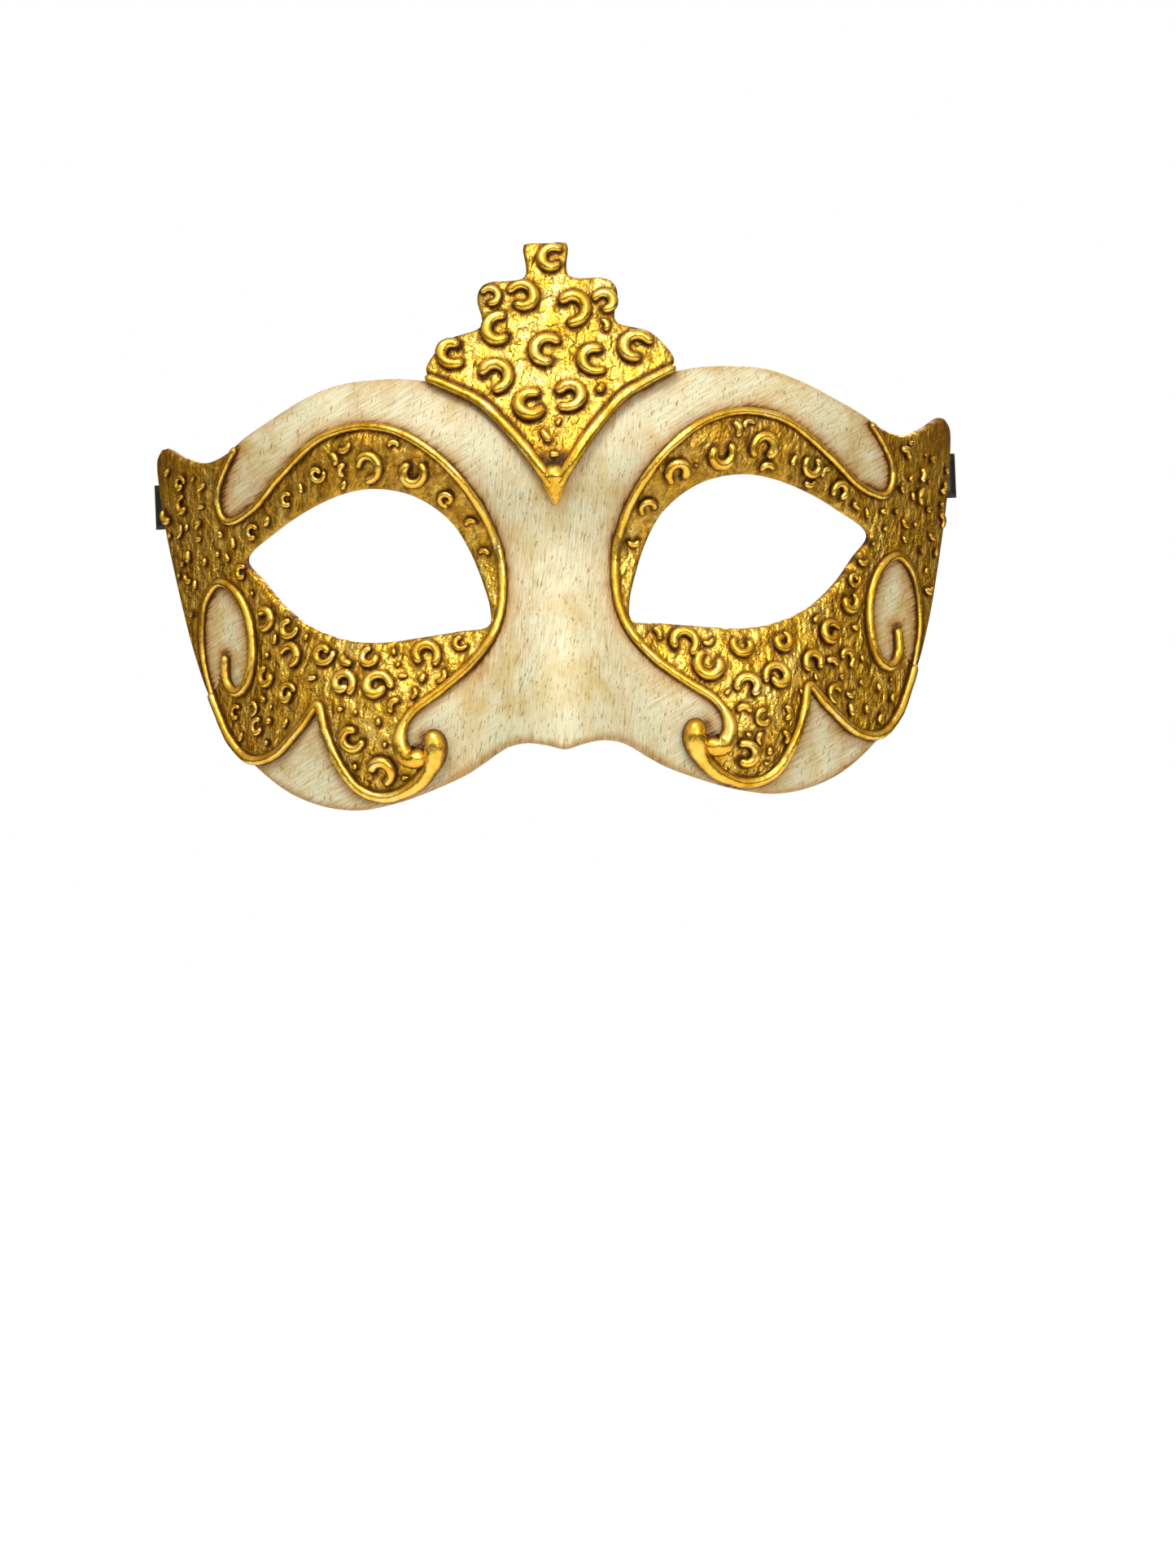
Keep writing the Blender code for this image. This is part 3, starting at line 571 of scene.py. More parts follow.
def pattern_place(tree, size, turn=(0.0, 0.0, 0.0)):
    """Object coordinates scaled so that one unit of a pattern is size millimetres along each axis. The
    pattern's own Scale is then 1."""
    place = add_node(tree, "ShaderNodeTexCoord", output=3)
    scale = [s * MM for s in size]
    return add_node(
        tree, "ShaderNodeMapping", place, inputs={"Rotation": turn, "Scale": scale}, vector_type="TEXTURE"
    )


def gold_leaf(name, polish, crinkle_depth):
    """Loose gold leaf over bole, burnished, then glazed with umber and wiped: bright where it stands proud,
    brown and dull in every recess, where the brown is both the umber glaze and painted shade. polish is the
    roughness of clean leaf."""
    material, tree, shader = new_material(name)
    patina_and_painted_shade = add_node(tree, "ShaderNodeAttribute", attribute_name="patina_and_painted_shade", output=2)
    wear = add_node(
        tree, "ShaderNodeTexNoise", pattern_place(tree, (5.0, 5.0, 7.0)),
        inputs={"Scale": 1.0, "Detail": 4.0, "Roughness": 0.65},
    )
    crinkle = add_node(
        tree, "ShaderNodeTexNoise", pattern_place(tree, (1.3, 1.3, 1.6), (0.0, 0.9, 0.0)),
        inputs={"Scale": 1.0, "Roughness": 0.55},
    )
    folds = add_node(
        tree, "ShaderNodeTexNoise", pattern_place(tree, (2.6, 2.6, 5.0), (0.0, 0.3, 0.0)),
        inputs={"Scale": 1.0},
    )
    gold = add_node(
        tree, "ShaderNodeValToRGB", wear,
        stops=[(0.30, "#D29A22"), (0.44, "#ECBA3E"), (0.57, "#FACF5C"), (0.75, "#FEE18C")],
    )
    # How much glaze and painted shade is left: the recess darkening, broken up by the leaf's folds. The two
    # browns below paint both the umber glaze and the shade in recesses
    broken = add_node(tree, "ShaderNodeMath", crinkle, 0.60, patina_and_painted_shade, operation="MULTIPLY_ADD")
    broken = add_node(tree, "ShaderNodeMath", folds, 0.35, broken, operation="MULTIPLY_ADD")
    thin = add_node(tree, "ShaderNodeMapRange", broken, 0.50, 1.12, interpolation_type="SMOOTHSTEP")
    thick = add_node(tree, "ShaderNodeMapRange", broken, 0.95, 1.40, interpolation_type="SMOOTHSTEP")
    warm = add_node(
        tree, "ShaderNodeMix", data_type="RGBA", inputs={0: thin, 6: gold, 7: colour("#946604")}, output=2
    )
    shade = add_node(
        tree, "ShaderNodeMix", data_type="RGBA", inputs={0: thick, 6: warm, 7: colour("#4C2C02")}, output=2
    )
    metal = add_node(
        tree, "ShaderNodeMapRange", broken, 0.50, 1.40, 0.94, 0.50, interpolation_type="SMOOTHSTEP"
    )
    dulled = add_node(
        tree, "ShaderNodeMapRange", broken, 0.45, 1.25, polish, 0.58, interpolation_type="SMOOTHSTEP"
    )
    height = add_node(tree, "ShaderNodeMath", folds, 2.6, crinkle, operation="MULTIPLY_ADD")
    crumpled = add_node(
        tree, "ShaderNodeBump", inputs={"Strength": 1.0, "Distance": crinkle_depth * MM, "Height": height}
    )
    fill(tree, shader, {"Base Color": shade, "Metallic": metal, "Roughness": dulled, "Normal": crumpled})
    return material


def brushed_ivory():
    """Ivory casein paint dragged over gesso with a dry brush, then rubbed with brown wax: low sheen, fine
    crossing brush lines, small dark flecks, and wax left against the beads and in hollows, which is also
    painted shade at the beads' feet."""
    material, tree, shader = new_material("brushed_ivory_gesso")
    patina_and_painted_shade = add_node(tree, "ShaderNodeAttribute", attribute_name="patina_and_painted_shade", output=2)
    # Brush lines lean across the brows and cheeks, and run down the nose
    across, down = (
        add_node(
            tree, "ShaderNodeTexNoise", pattern_place(tree, size, turn),
            inputs={"Scale": 1.0, "Detail": 3.0, "Roughness": 0.75},
        )
        for size, turn in (((6.0, 6.0, 0.36), (0.0, -0.5, 0.0)), ((0.38, 5.0, 6.0), (0.0, 0.12, 0.0)))
    )
    sideways = add_node(tree, "ShaderNodeSeparateXYZ", pattern_place(tree, (1.0, 1.0, 1.0)))
    sideways = add_node(tree, "ShaderNodeMath", sideways, operation="ABSOLUTE")
    cloud, clouding = (
        add_node(
            tree, "ShaderNodeTexNoise", pattern_place(tree, size), inputs={"Scale": 1.0, "Detail": 3.0}
        )
        for size in ((9.0, 9.0, 9.0), (9.0, 9.0, 12.0))
    )
    sideways = add_node(tree, "ShaderNodeMath", cloud, 34.0, sideways, operation="MULTIPLY_ADD")
    which = add_node(tree, "ShaderNodeMapRange", sideways, 44.0, 30.0, interpolation_type="SMOOTHSTEP")
    brush = add_node(tree, "ShaderNodeMix", data_type="FLOAT", inputs={0: which, 2: across, 3: down})
    paint = add_node(
        tree, "ShaderNodeValToRGB", brush,
        stops=[(0.22, "#8F7E4E"), (0.32, "#C4BB98"), (0.42, "#D2CCB0"), (0.66, "#D9D5C0")],
    )
    tone = add_node(
        tree, "ShaderNodeValToRGB", clouding,
        stops=[(0.34, "#EBDDB8"), (0.50, "#FBF8EC"), (0.64, "#F6FAF0")],
    )
    paint = add_node(
        tree, "ShaderNodeMix", data_type="RGBA", blend_type="MULTIPLY",
        inputs={0: 1.0, 6: paint, 7: tone}, output=2,
    )
    fleck = add_node(
        tree, "ShaderNodeTexNoise", pattern_place(tree, (0.34, 1.8, 2.2), (0.0, 0.25, 0.0)),
        inputs={"Scale": 1.0, "Roughness": 0.6},
    )
    flecks = add_node(
        tree, "ShaderNodeMapRange", fleck, 0.60, 0.68, 0.0, 0.75, interpolation_type="SMOOTHSTEP"
    )
    paint = add_node(
        tree, "ShaderNodeMix", data_type="RGBA", inputs={0: flecks, 6: paint, 7: colour("#6E5420")}, output=2
    )
    # Wax and painted shade: the recess darkening, broken up by the brush lines it caught in
    smear = add_node(
        tree, "ShaderNodeTexNoise", pattern_place(tree, (10.0, 10.0, 15.0)),
        inputs={"Scale": 1.0, "Detail": 3.0, "Roughness": 0.6},
    )
    smear = add_node(
        tree, "ShaderNodeMapRange", smear, 0.48, 0.72, 0.0, 0.26, interpolation_type="SMOOTHSTEP"
    )
    broken = add_node(tree, "ShaderNodeMath", patina_and_painted_shade, smear, operation="ADD")
    broken = add_node(tree, "ShaderNodeMath", brush, -1.3, broken, operation="MULTIPLY_ADD")
    thin = add_node(tree, "ShaderNodeMapRange", broken, -0.60, 0.16, 0.0, 0.9)
    thick = add_node(tree, "ShaderNodeMapRange", broken, 0.05, 0.42, interpolation_type="SMOOTHSTEP")
    hazed_and_shaded = add_node(
        tree, "ShaderNodeMix", data_type="RGBA", inputs={0: thin, 6: paint, 7: colour("#AC7E38")}, output=2
    )
    waxed_and_shaded = add_node(
        tree, "ShaderNodeMix", data_type="RGBA", inputs={0: thick, 6: hazed_and_shaded, 7: colour("#5E380E")}, output=2
    )
    low_sheen = add_node(tree, "ShaderNodeMapRange", brush, 0.3, 0.7, 0.5, 0.66)
    ridges = add_node(
        tree, "ShaderNodeBump", inputs={"Strength": 0.4, "Distance": 0.12 * MM, "Height": brush}
    )
    fill(tree, shader, {"Base Color": waxed_and_shaded, "Roughness": low_sheen, "Normal": ridges})
    return material


def umber_lining():
    """The bare inside of a papier-mache shell, painted with thinned umber: matt and dark, with the edges of
    its overlapping torn paper showing through."""
    material, tree, shader = new_material("umber_painted_papier_mache")
    torn = add_node(
        tree, "ShaderNodeTexVoronoi", pattern_place(tree, (17.0, 17.0, 11.0), (0.3, 0.5, 0.2)),
        inputs={"Scale": 1.0}, output=1,
    )
    layers = add_node(tree, "ShaderNodeSeparateColor", torn)
    wash = add_node(
        tree, "ShaderNodeTexNoise", pattern_place(tree, (4.0, 4.0, 4.0)),
        inputs={"Scale": 1.0, "Detail": 5.0, "Roughness": 0.65},
    )
    tone = add_node(tree, "ShaderNodeMath", layers, 0.25, wash, operation="MULTIPLY_ADD")
    paint = add_node(
        tree, "ShaderNodeValToRGB", tone, stops=[(0.40, "#1E150D"), (0.58, "#38281B"), (0.78, "#54402E")]
    )
    overlaps = add_node(
        tree, "ShaderNodeBump", inputs={"Strength": 0.6, "Distance": 0.3 * MM, "Height": tone}
    )
    fill(tree, shader, {"Base Color": paint, "Roughness": 0.82, "Normal": overlaps})
    return material


def black_satin():
    """Polyester satin ribbon: near black, with a soft band of sheen where it bends. The threads are drawn
    at 0.4 mm, twice their real spacing, so that they show."""
    material, tree, shader = new_material("black_satin_weave")
    uv = add_node(tree, "ShaderNodeUVMap", uv_map="ribbon")
    threads = []
    for number, spacing in enumerate((0.4, 0.5)):
        place = add_node(tree, "ShaderNodeSeparateXYZ", uv, output=number)
        turn = add_node(tree, "ShaderNodeMath", place, 2 * math.pi / spacing, operation="MULTIPLY")
        threads.append(add_node(tree, "ShaderNodeMath", turn, operation="SINE"))
    weave = add_node(tree, "ShaderNodeMath", threads[1], 0.4, threads[0], operation="MULTIPLY_ADD")
    level = add_node(tree, "ShaderNodeMapRange", weave, -1.4, 1.4)
    dye = add_node(tree, "ShaderNodeValToRGB", level, stops=[(0.0, "#060507"), (1.0, "#121013")])
    ribs = add_node(
        tree, "ShaderNodeBump", inputs={"Strength": 0.35, "Distance": 0.05 * MM, "Height": level}
    )
    fill(tree, shader, {
        "Base Color": dye, "Roughness": 0.36, "Sheen Weight": 0.12, "Sheen Roughness": 0.4, "Normal": ribs,
    })
    return material


def patch_paper():
    """A torn patch of brown paper, pasted down and washed with the same umber as the inside."""
    material, tree, shader = new_material("pasted_brown_paper")
    fibre = add_node(
        tree, "ShaderNodeTexNoise", pattern_place(tree, (1.6, 1.6, 0.5)),
        inputs={"Scale": 1.0, "Detail": 5.0, "Roughness": 0.7},
    )
    paint = add_node(
        tree, "ShaderNodeValToRGB", fibre, stops=[(0.30, "#3A2B1E"), (0.55, "#574330"), (0.75, "#735B43")]
    )
    fibres = add_node(
        tree, "ShaderNodeBump", inputs={"Strength": 0.6, "Distance": 0.15 * MM, "Height": fibre}
    )
    fill(tree, shader, {"Base Color": paint, "Roughness": 0.88, "Normal": fibres})
    return material


# ---------------------------------------------------------------- geometry nodes

def piping_group():
    """Piped cords: every chain of edges becomes a round cord with rounded ends and a hand-made unevenness.

    A point's "cord" attribute is the cord's radius there."""
    group = bpy.data.node_groups.new("piped_cords", "GeometryNodeTree")
    for label, kind in (
        ("Geometry", "Geometry"), ("Step", "Float"), ("Sides", "Int"), ("Uneven Width", "Float"),
        ("Uneven Path", "Float"), ("Material", "Material"),
    ):
        group.interface.new_socket(label, in_out="INPUT", socket_type=f"NodeSocket{kind}")
    group.interface.new_socket("Geometry", in_out="OUTPUT", socket_type="NodeSocketGeometry")
    given = group.nodes.new("NodeGroupInput").outputs

    lines = add_node(group, "GeometryNodeMeshToCurve", given["Geometry"])
    lines = add_node(
        group, "GeometryNodeResampleCurve", lines, inputs={"Length": given["Step"]}, mode="LENGTH"
    )
    cord = add_node(group, "GeometryNodeInputNamedAttribute", "cord")
    place = add_node(group, "GeometryNodeInputPosition")
    drift = add_node(group, "ShaderNodeTexNoise", place, inputs={"Scale": WIDTH_LUMPS, "Detail": 2.0})
    drift = add_node(group, "ShaderNodeMath", drift, 0.5, operation="SUBTRACT")
    drift = add_node(group, "ShaderNodeMath", drift, given["Uneven Width"], 1.0, operation="MULTIPLY_ADD")
    width = add_node(group, "ShaderNodeMath", cord, drift, operation="MULTIPLY")
    # Rounded ends: a quarter circle over the last radius of its length
    so_far = add_node(group, "GeometryNodeSplineParameter", output=1)
    whole = add_node(group, "GeometryNodeSplineLength")
    to_go = add_node(group, "ShaderNodeMath", whole, so_far, operation="SUBTRACT")
    to_end = add_node(group, "ShaderNodeMath", so_far, to_go, operation="MINIMUM")
    share = add_node(group, "ShaderNodeMath", to_end, width, operation="DIVIDE", use_clamp=True)
    rest = add_node(group, "ShaderNodeMath", 2.0, share, operation="SUBTRACT")
    rounded = add_node(group, "ShaderNodeMath", share, rest, operation="MULTIPLY")
    rounded = add_node(group, "ShaderNodeMath", rounded, 0.5, operation="POWER")
    rounded = add_node(group, "ShaderNodeMath", rounded, 0.2, operation="MAXIMUM")
    width = add_node(group, "ShaderNodeMath", width, rounded, operation="MULTIPLY")
    section = add_node(
        group, "GeometryNodeCurvePrimitiveCircle", inputs={"Resolution": given["Sides"], "Radius": 1.0}
    )
    cords = add_node(
        group, "GeometryNodeCurveToMesh", lines, section, inputs={"Scale": width, "Fill Caps": True}
    )
    # Shake the surface a little in every direction
    shake = add_node(
        group, "ShaderNodeTexNoise", place, inputs={"Scale": SURFACE_LUMPS, "Detail": 1.0}, output=1
    )
    shake = add_node(group, "ShaderNodeVectorMath", shake, (0.5, 0.5, 0.5), operation="SUBTRACT")
    shake = add_node(
        group, "ShaderNodeVectorMath", shake, inputs={"Scale": given["Uneven Path"]}, operation="SCALE"
    )
    cords = add_node(group, "GeometryNodeSetPosition", cords, inputs={"Offset": shake})
    cords = add_node(group, "GeometryNodeSetShadeSmooth", cords)
    cords = add_node(group, "GeometryNodeRealizeInstances", cords)
    cords = add_node(group, "GeometryNodeSetMaterial", cords, inputs={"Material": given["Material"]})
    add_node(group, "NodeGroupOutput", cords)
    return group


def run_group(piece, group, values):
    """Gives the piece's geometry to a node group, and returns a plain object made from the result."""
    name = piece.name
    modifier = piece.modifiers.new(group.name, "NODES")
    modifier.node_group = group
    for item in group.interface.items_tree:
        if item.in_out == "INPUT" and item.name in values:
            modifier[item.identifier] = values[item.name]
    mesh = evaluated_mesh(piece)
    bpy.data.objects.remove(piece, do_unlink=True)
    mesh.name = name
    return add_piece(name, mesh)


# ---------------------------------------------------------------- beads and strokes

def pipe(name, lines, ground, step, sides, uneven_path):
    """One gilt piece from lines, each a list of points and the cord's radius at each, in millimetres.

    Its glaze is wiped off with height above the ground, which is given above the mask's face. The same
    darkening paints the shade on the cords' low flanks, so their tops stay bright."""
    verts, radii, edges = [], [], []
    for points, widths in lines:
        start = len(verts)
        verts += [tuple(p * MM) for p in points]
        radii += list(widths * MM)
        edges += [(i, i + 1) for i in range(start, len(verts) - 1)]
    mesh = bpy.data.meshes.new(name)
    mesh.from_pydata(verts, edges, [])
    set_attribute(mesh, "cord", radii)
    piece = run_group(add_piece(name, mesh), PIPING, {
        "Step": step * MM, "Sides": sides, "Uneven Width": CORD_UNEVEN_WIDTH,
        "Uneven Path": uneven_path * MM, "Material": GOLD,
    })
    co = np.empty(len(piece.data.vertices) * 3)
    piece.data.vertices.foreach_get("co", co)
    x, y, z = co.reshape(-1, 3).T / MM
    above = (face_depth(x, z) - y) * -face_normals(x, z)[:, 1] - ground
    radius = np.empty(len(x))
    piece.data.attributes["cord"].data.foreach_get("value", radius)
    # Painted shade with the glaze: dark on the low flanks, clean towards the top
    clean_top = smooth_step(above / (radius / MM), CORD_GLAZE_AND_SHADE_START, CORD_GLAZE_AND_SHADE_END)
    set_attribute(piece.data, "patina_and_painted_shade", CORD_GLAZE_AND_SHADE * (1.0 - clean_top))
    return piece


def bead_line(route, radius, side, ground, swell):
    """A bead along a route seen from the front. swell is (share of its length, width) pairs."""
    path = smooth_route(route, BEAD_STEP) * (side, 1.0)
    widths = radius * np.interp(np.linspace(0, 1, len(path)), *zip(*swell))
    return seen_at(path, ground + widths * (1.0 - BEAD_SINK)), widths


def stroke_line(x, z, radius, open_side, shape, ground, generator):
    """A piped stroke on the ground: the points along its middle, and its cord's radius at each."""
    turns, start, end, cord = STROKES[shape]
    turns *= generator.uniform(*TURN_SPREAD)
    share = np.linspace(0, 1, max(FEWEST_POINTS, round(STROKE_POINTS_PER_TURN * turns)))
    angle = 2 * math.pi * turns * (share - 0.5) + math.pi
    if generator.random() < 0.5:
        angle = -angle
    reach = radius * (start + (end - start) * share) * (1.0 + REACH_SPREAD * generator.standard_normal())
    angle += math.radians(open_side + generator.uniform(-TILT_SPREAD, TILT_SPREAD))
    centre = seen_at([(x, z)], ground)[0]
    normal = face_normals(centre[:1], centre[2:])[0]
    right = np.cross(-normal, (0.0, 0.0, 1.0))
    right /= np.linalg.norm(right)
    up = np.cross(normal, right)
    if shape == DAB:
        heading = math.radians(open_side)
        reach = radius * generator.uniform(*DAB_LENGTHS) * (share - 0.5)
        angle = np.full(len(share), heading)
    spots = centre + reach[:, None] * (np.cos(angle)[:, None] * right + np.sin(angle)[:, None] * up)
    widths = radius * cord * (ENDS_WIDTH + MIDDLE_SWELL * np.sin(math.pi * share ** SWELL_LEAN))
    widths = widths * generator.uniform(*WIDTH_SPREAD)
    if shape == DAB:
        widths = radius * cord * (DAB_START_WIDTH - generator.uniform(*DAB_TAPERS) * share)
    return above_face(spots[:, [0, 2]], ground + widths * (1.0 - CURL_SINK)), widths


def stroke_lines(strokes, ground, seed):
    generator = np.random.default_rng(seed)
    return [stroke_line(*stroke, ground, generator) for stroke in strokes]


def filler_dabs(side, strokes, seed):
    """Small dabs and arcs in what the strokes leave bare of one side's gilt ground."""
    generator = np.random.default_rng(seed)
    border = smooth_route(GILT_BORDER, 2 * MEASURING_STEP, closed=True)
    oval = smooth_route(SWIRL_BEAD_ROUTE, MEASURING_STEP)
    walls = [
        smooth_route(route, MEASURING_STEP) for route in (EYE_BEAD_ROUTE, LOBE_BEAD_ROUTE, SWIRL_BEAD_ROUTE)
    ]
    walls += [EYE_LOOP, SHELL_LOOP]
    walls = np.concatenate([above_face(wall, 0.0) for wall in walls])
    taken = [(side * x, z) for x, z, *_ in strokes]
    spots, radii = above_face(np.array(taken), 0.0), np.array([radius for _, _, radius, *_ in strokes])
    found = []
    tries = [generator.uniform(*reach, FILLER_TRIES) for reach in (FILLER_X, FILLER_Z)]
    flat = np.stack(tries, axis=1)
    flat = flat[is_inside(flat, border) & is_inside(flat, SHELL_LOOP)]
    flat = flat[~is_inside(flat, EYE_LOOP) & ~is_inside(flat, oval)]
    for place, spot in zip(flat, above_face(flat, 0.0)):
        shape = ARC if place[0] < ONLY_ARCS_X or generator.random() < ARC_SHARE else DAB
        smallest, largest, gap = FILLERS[shape]
        radius = generator.uniform(smallest, largest)
        edge_gap = TEMPLE_EDGE_GAP if place[0] > TEMPLE_EDGE_X else FILLER_EDGE_GAP
        if np.linalg.norm(walls - spot, axis=1).min() < radius + edge_gap:
            continue
        if (np.linalg.norm(spots - spot, axis=1) < radii + radius + gap).any():
            continue
        found.append((side * place[0], place[1], radius, generator.uniform(0, 360), shape))
        spots, radii = np.vstack([spots, spot]), np.append(radii, radius)
    return found


# ---------------------------------------------------------------- camera, light and floor

def add_softbox(name, place, aim, size, power):
    data = bpy.data.lights.new(name, "AREA")
    data.shape, data.size, data.size_y, data.energy = "RECTANGLE", size[0], size[1], power
    light = bpy.data.objects.new(name, data)
    light.location = place
    light.rotation_euler = (Vector(aim) - Vector(place)).to_track_quat("-Z", "Y").to_euler()
    bpy.context.scene.collection.objects.link(light)


def make_floor():
    """A pale floor that fades to plain white away from the object."""
    floor_mesh = bpy.data.meshes.new("floor")
    shape = bmesh.new()
    bmesh.ops.create_grid(shape, x_segments=1, y_segments=1, size=FLOOR_HALF_SIZE)
    bmesh.ops.translate(shape, verts=shape.verts, vec=(0.0, 0.0, FLOOR_Z))
    shape.to_mesh(floor_mesh)
    shape.free()
    floor = bpy.data.objects.new("floor", floor_mesh)
    bpy.context.scene.collection.objects.link(floor)
    paint, tree, shader = new_material("pale_floor_paint")
    place = add_node(tree, "ShaderNodeTexCoord", output=3)
    from_middle = add_node(tree, "ShaderNodeVectorMath", place, operation="LENGTH", output=1)
    fade = add_node(tree, "ShaderNodeMapRange", from_middle, *FLOOR_FADE, interpolation_type="SMOOTHSTEP")
    tone = add_node(tree, "ShaderNodeValToRGB", fade, stops=[(0.0, "#F2F2F0"), (1.0, "#000000")])
    seen = add_node(tree, "ShaderNodeLightPath")
    glow = add_node(tree, "ShaderNodeMath", fade, seen, operation="MULTIPLY")
    fill(tree, shader, {
        "Base Color": tone, "Roughness": 0.9, "Emission Color": colour("#FFFFFF"), "Emission Strength": glow,
    })
    floor_mesh.materials.append(paint)


def make_world():
    """Plain white to the camera, but a dim warm room to the mask, brightest above and in front of it."""
    world = bpy.data.worlds.new("studio")
    bpy.context.scene.world = world
    world.use_nodes = True
    tree = world.node_tree
    tree.nodes.clear()
    seen = add_node(tree, "ShaderNodeLightPath")
    direction = add_node(tree, "ShaderNodeTexCoord")
    forward = add_node(
        tree, "ShaderNodeVectorMath", direction, (0.0, -0.92, 0.39), operation="DOT_PRODUCT", output=1
    )
    level = add_node(tree, "ShaderNodeMapRange", forward, -0.4, 1.0)
    room = add_node(
        tree, "ShaderNodeValToRGB", level,
        stops=[(0.0, "#6E5A30"), (0.30, "#B6A274"), (0.58, "#C4BA9E"), (0.92, "#FBF8F2")],
    )
    lit = add_node(tree, "ShaderNodeBackground", room, 1.10)
    shown = add_node(tree, "ShaderNodeBackground", colour("#FFFFFF"), 1.0)
    either = add_node(tree, "ShaderNodeMixShader", seen, lit, shown)
    add_node(tree, "ShaderNodeOutputWorld", either)


def make_stage():
    scene = bpy.context.scene
    scene.view_settings.view_transform = "Standard"
    camera_data = bpy.data.cameras.new("camera")
    camera_data.lens, camera_data.sensor_width = LENS, SENSOR_WIDTH
    camera = bpy.data.objects.new("camera", camera_data)
    distance = FRAME_WIDTH * MM * camera_data.lens / camera_data.sensor_width
    camera.location = (CAMERA_X, -distance, CAMERA_Z)
    camera.rotation_euler = Euler((math.radians(90), 0.0, 0.0))
    camera.rotation_euler.rotate_axis("Z", math.radians(CAMERA_ROLL))
    scene.collection.objects.link(camera)
    scene.camera = camera
    make_floor()
    make_world()
    add_softbox("key", (-0.20, -0.80, 1.00), (0, 0, 0.01), (0.55, 0.35), 11.0)
    add_softbox("front", (0.55, -1.6, 0.35), (0, 0, 0), (0.6, 0.6), 9.0)
    add_softbox("behind", (0.3, 1.1, 0.7), (0, 0, 0), (0.8, 0.6), 9.0)


# ---------------------------------------------------------------- the mask

def glaze_and_shade_by_strokes(spots, lines):
    """How much dark glaze and painted shade each spot on the ground keeps, from how near the strokes' edges
    are: darkest at their feet, where the strokes would shade the ground.
    """
    tree = KDTree(sum(len(points) for points, _ in lines))
    widths = []
    for points, line_widths in lines:
        for point, width in zip(points[1:-1], line_widths[1:-1]):
            tree.insert(point, len(widths))
            widths.append(width)
    tree.balance()
    result = np.empty(len(spots))
    for i, spot in enumerate(spots):
        _, index, distance = tree.find(spot)
        result[i] = math.exp(-max(distance - STROKE_FOOT * widths[index], 0.0) / STROKE_FADE)
    return result


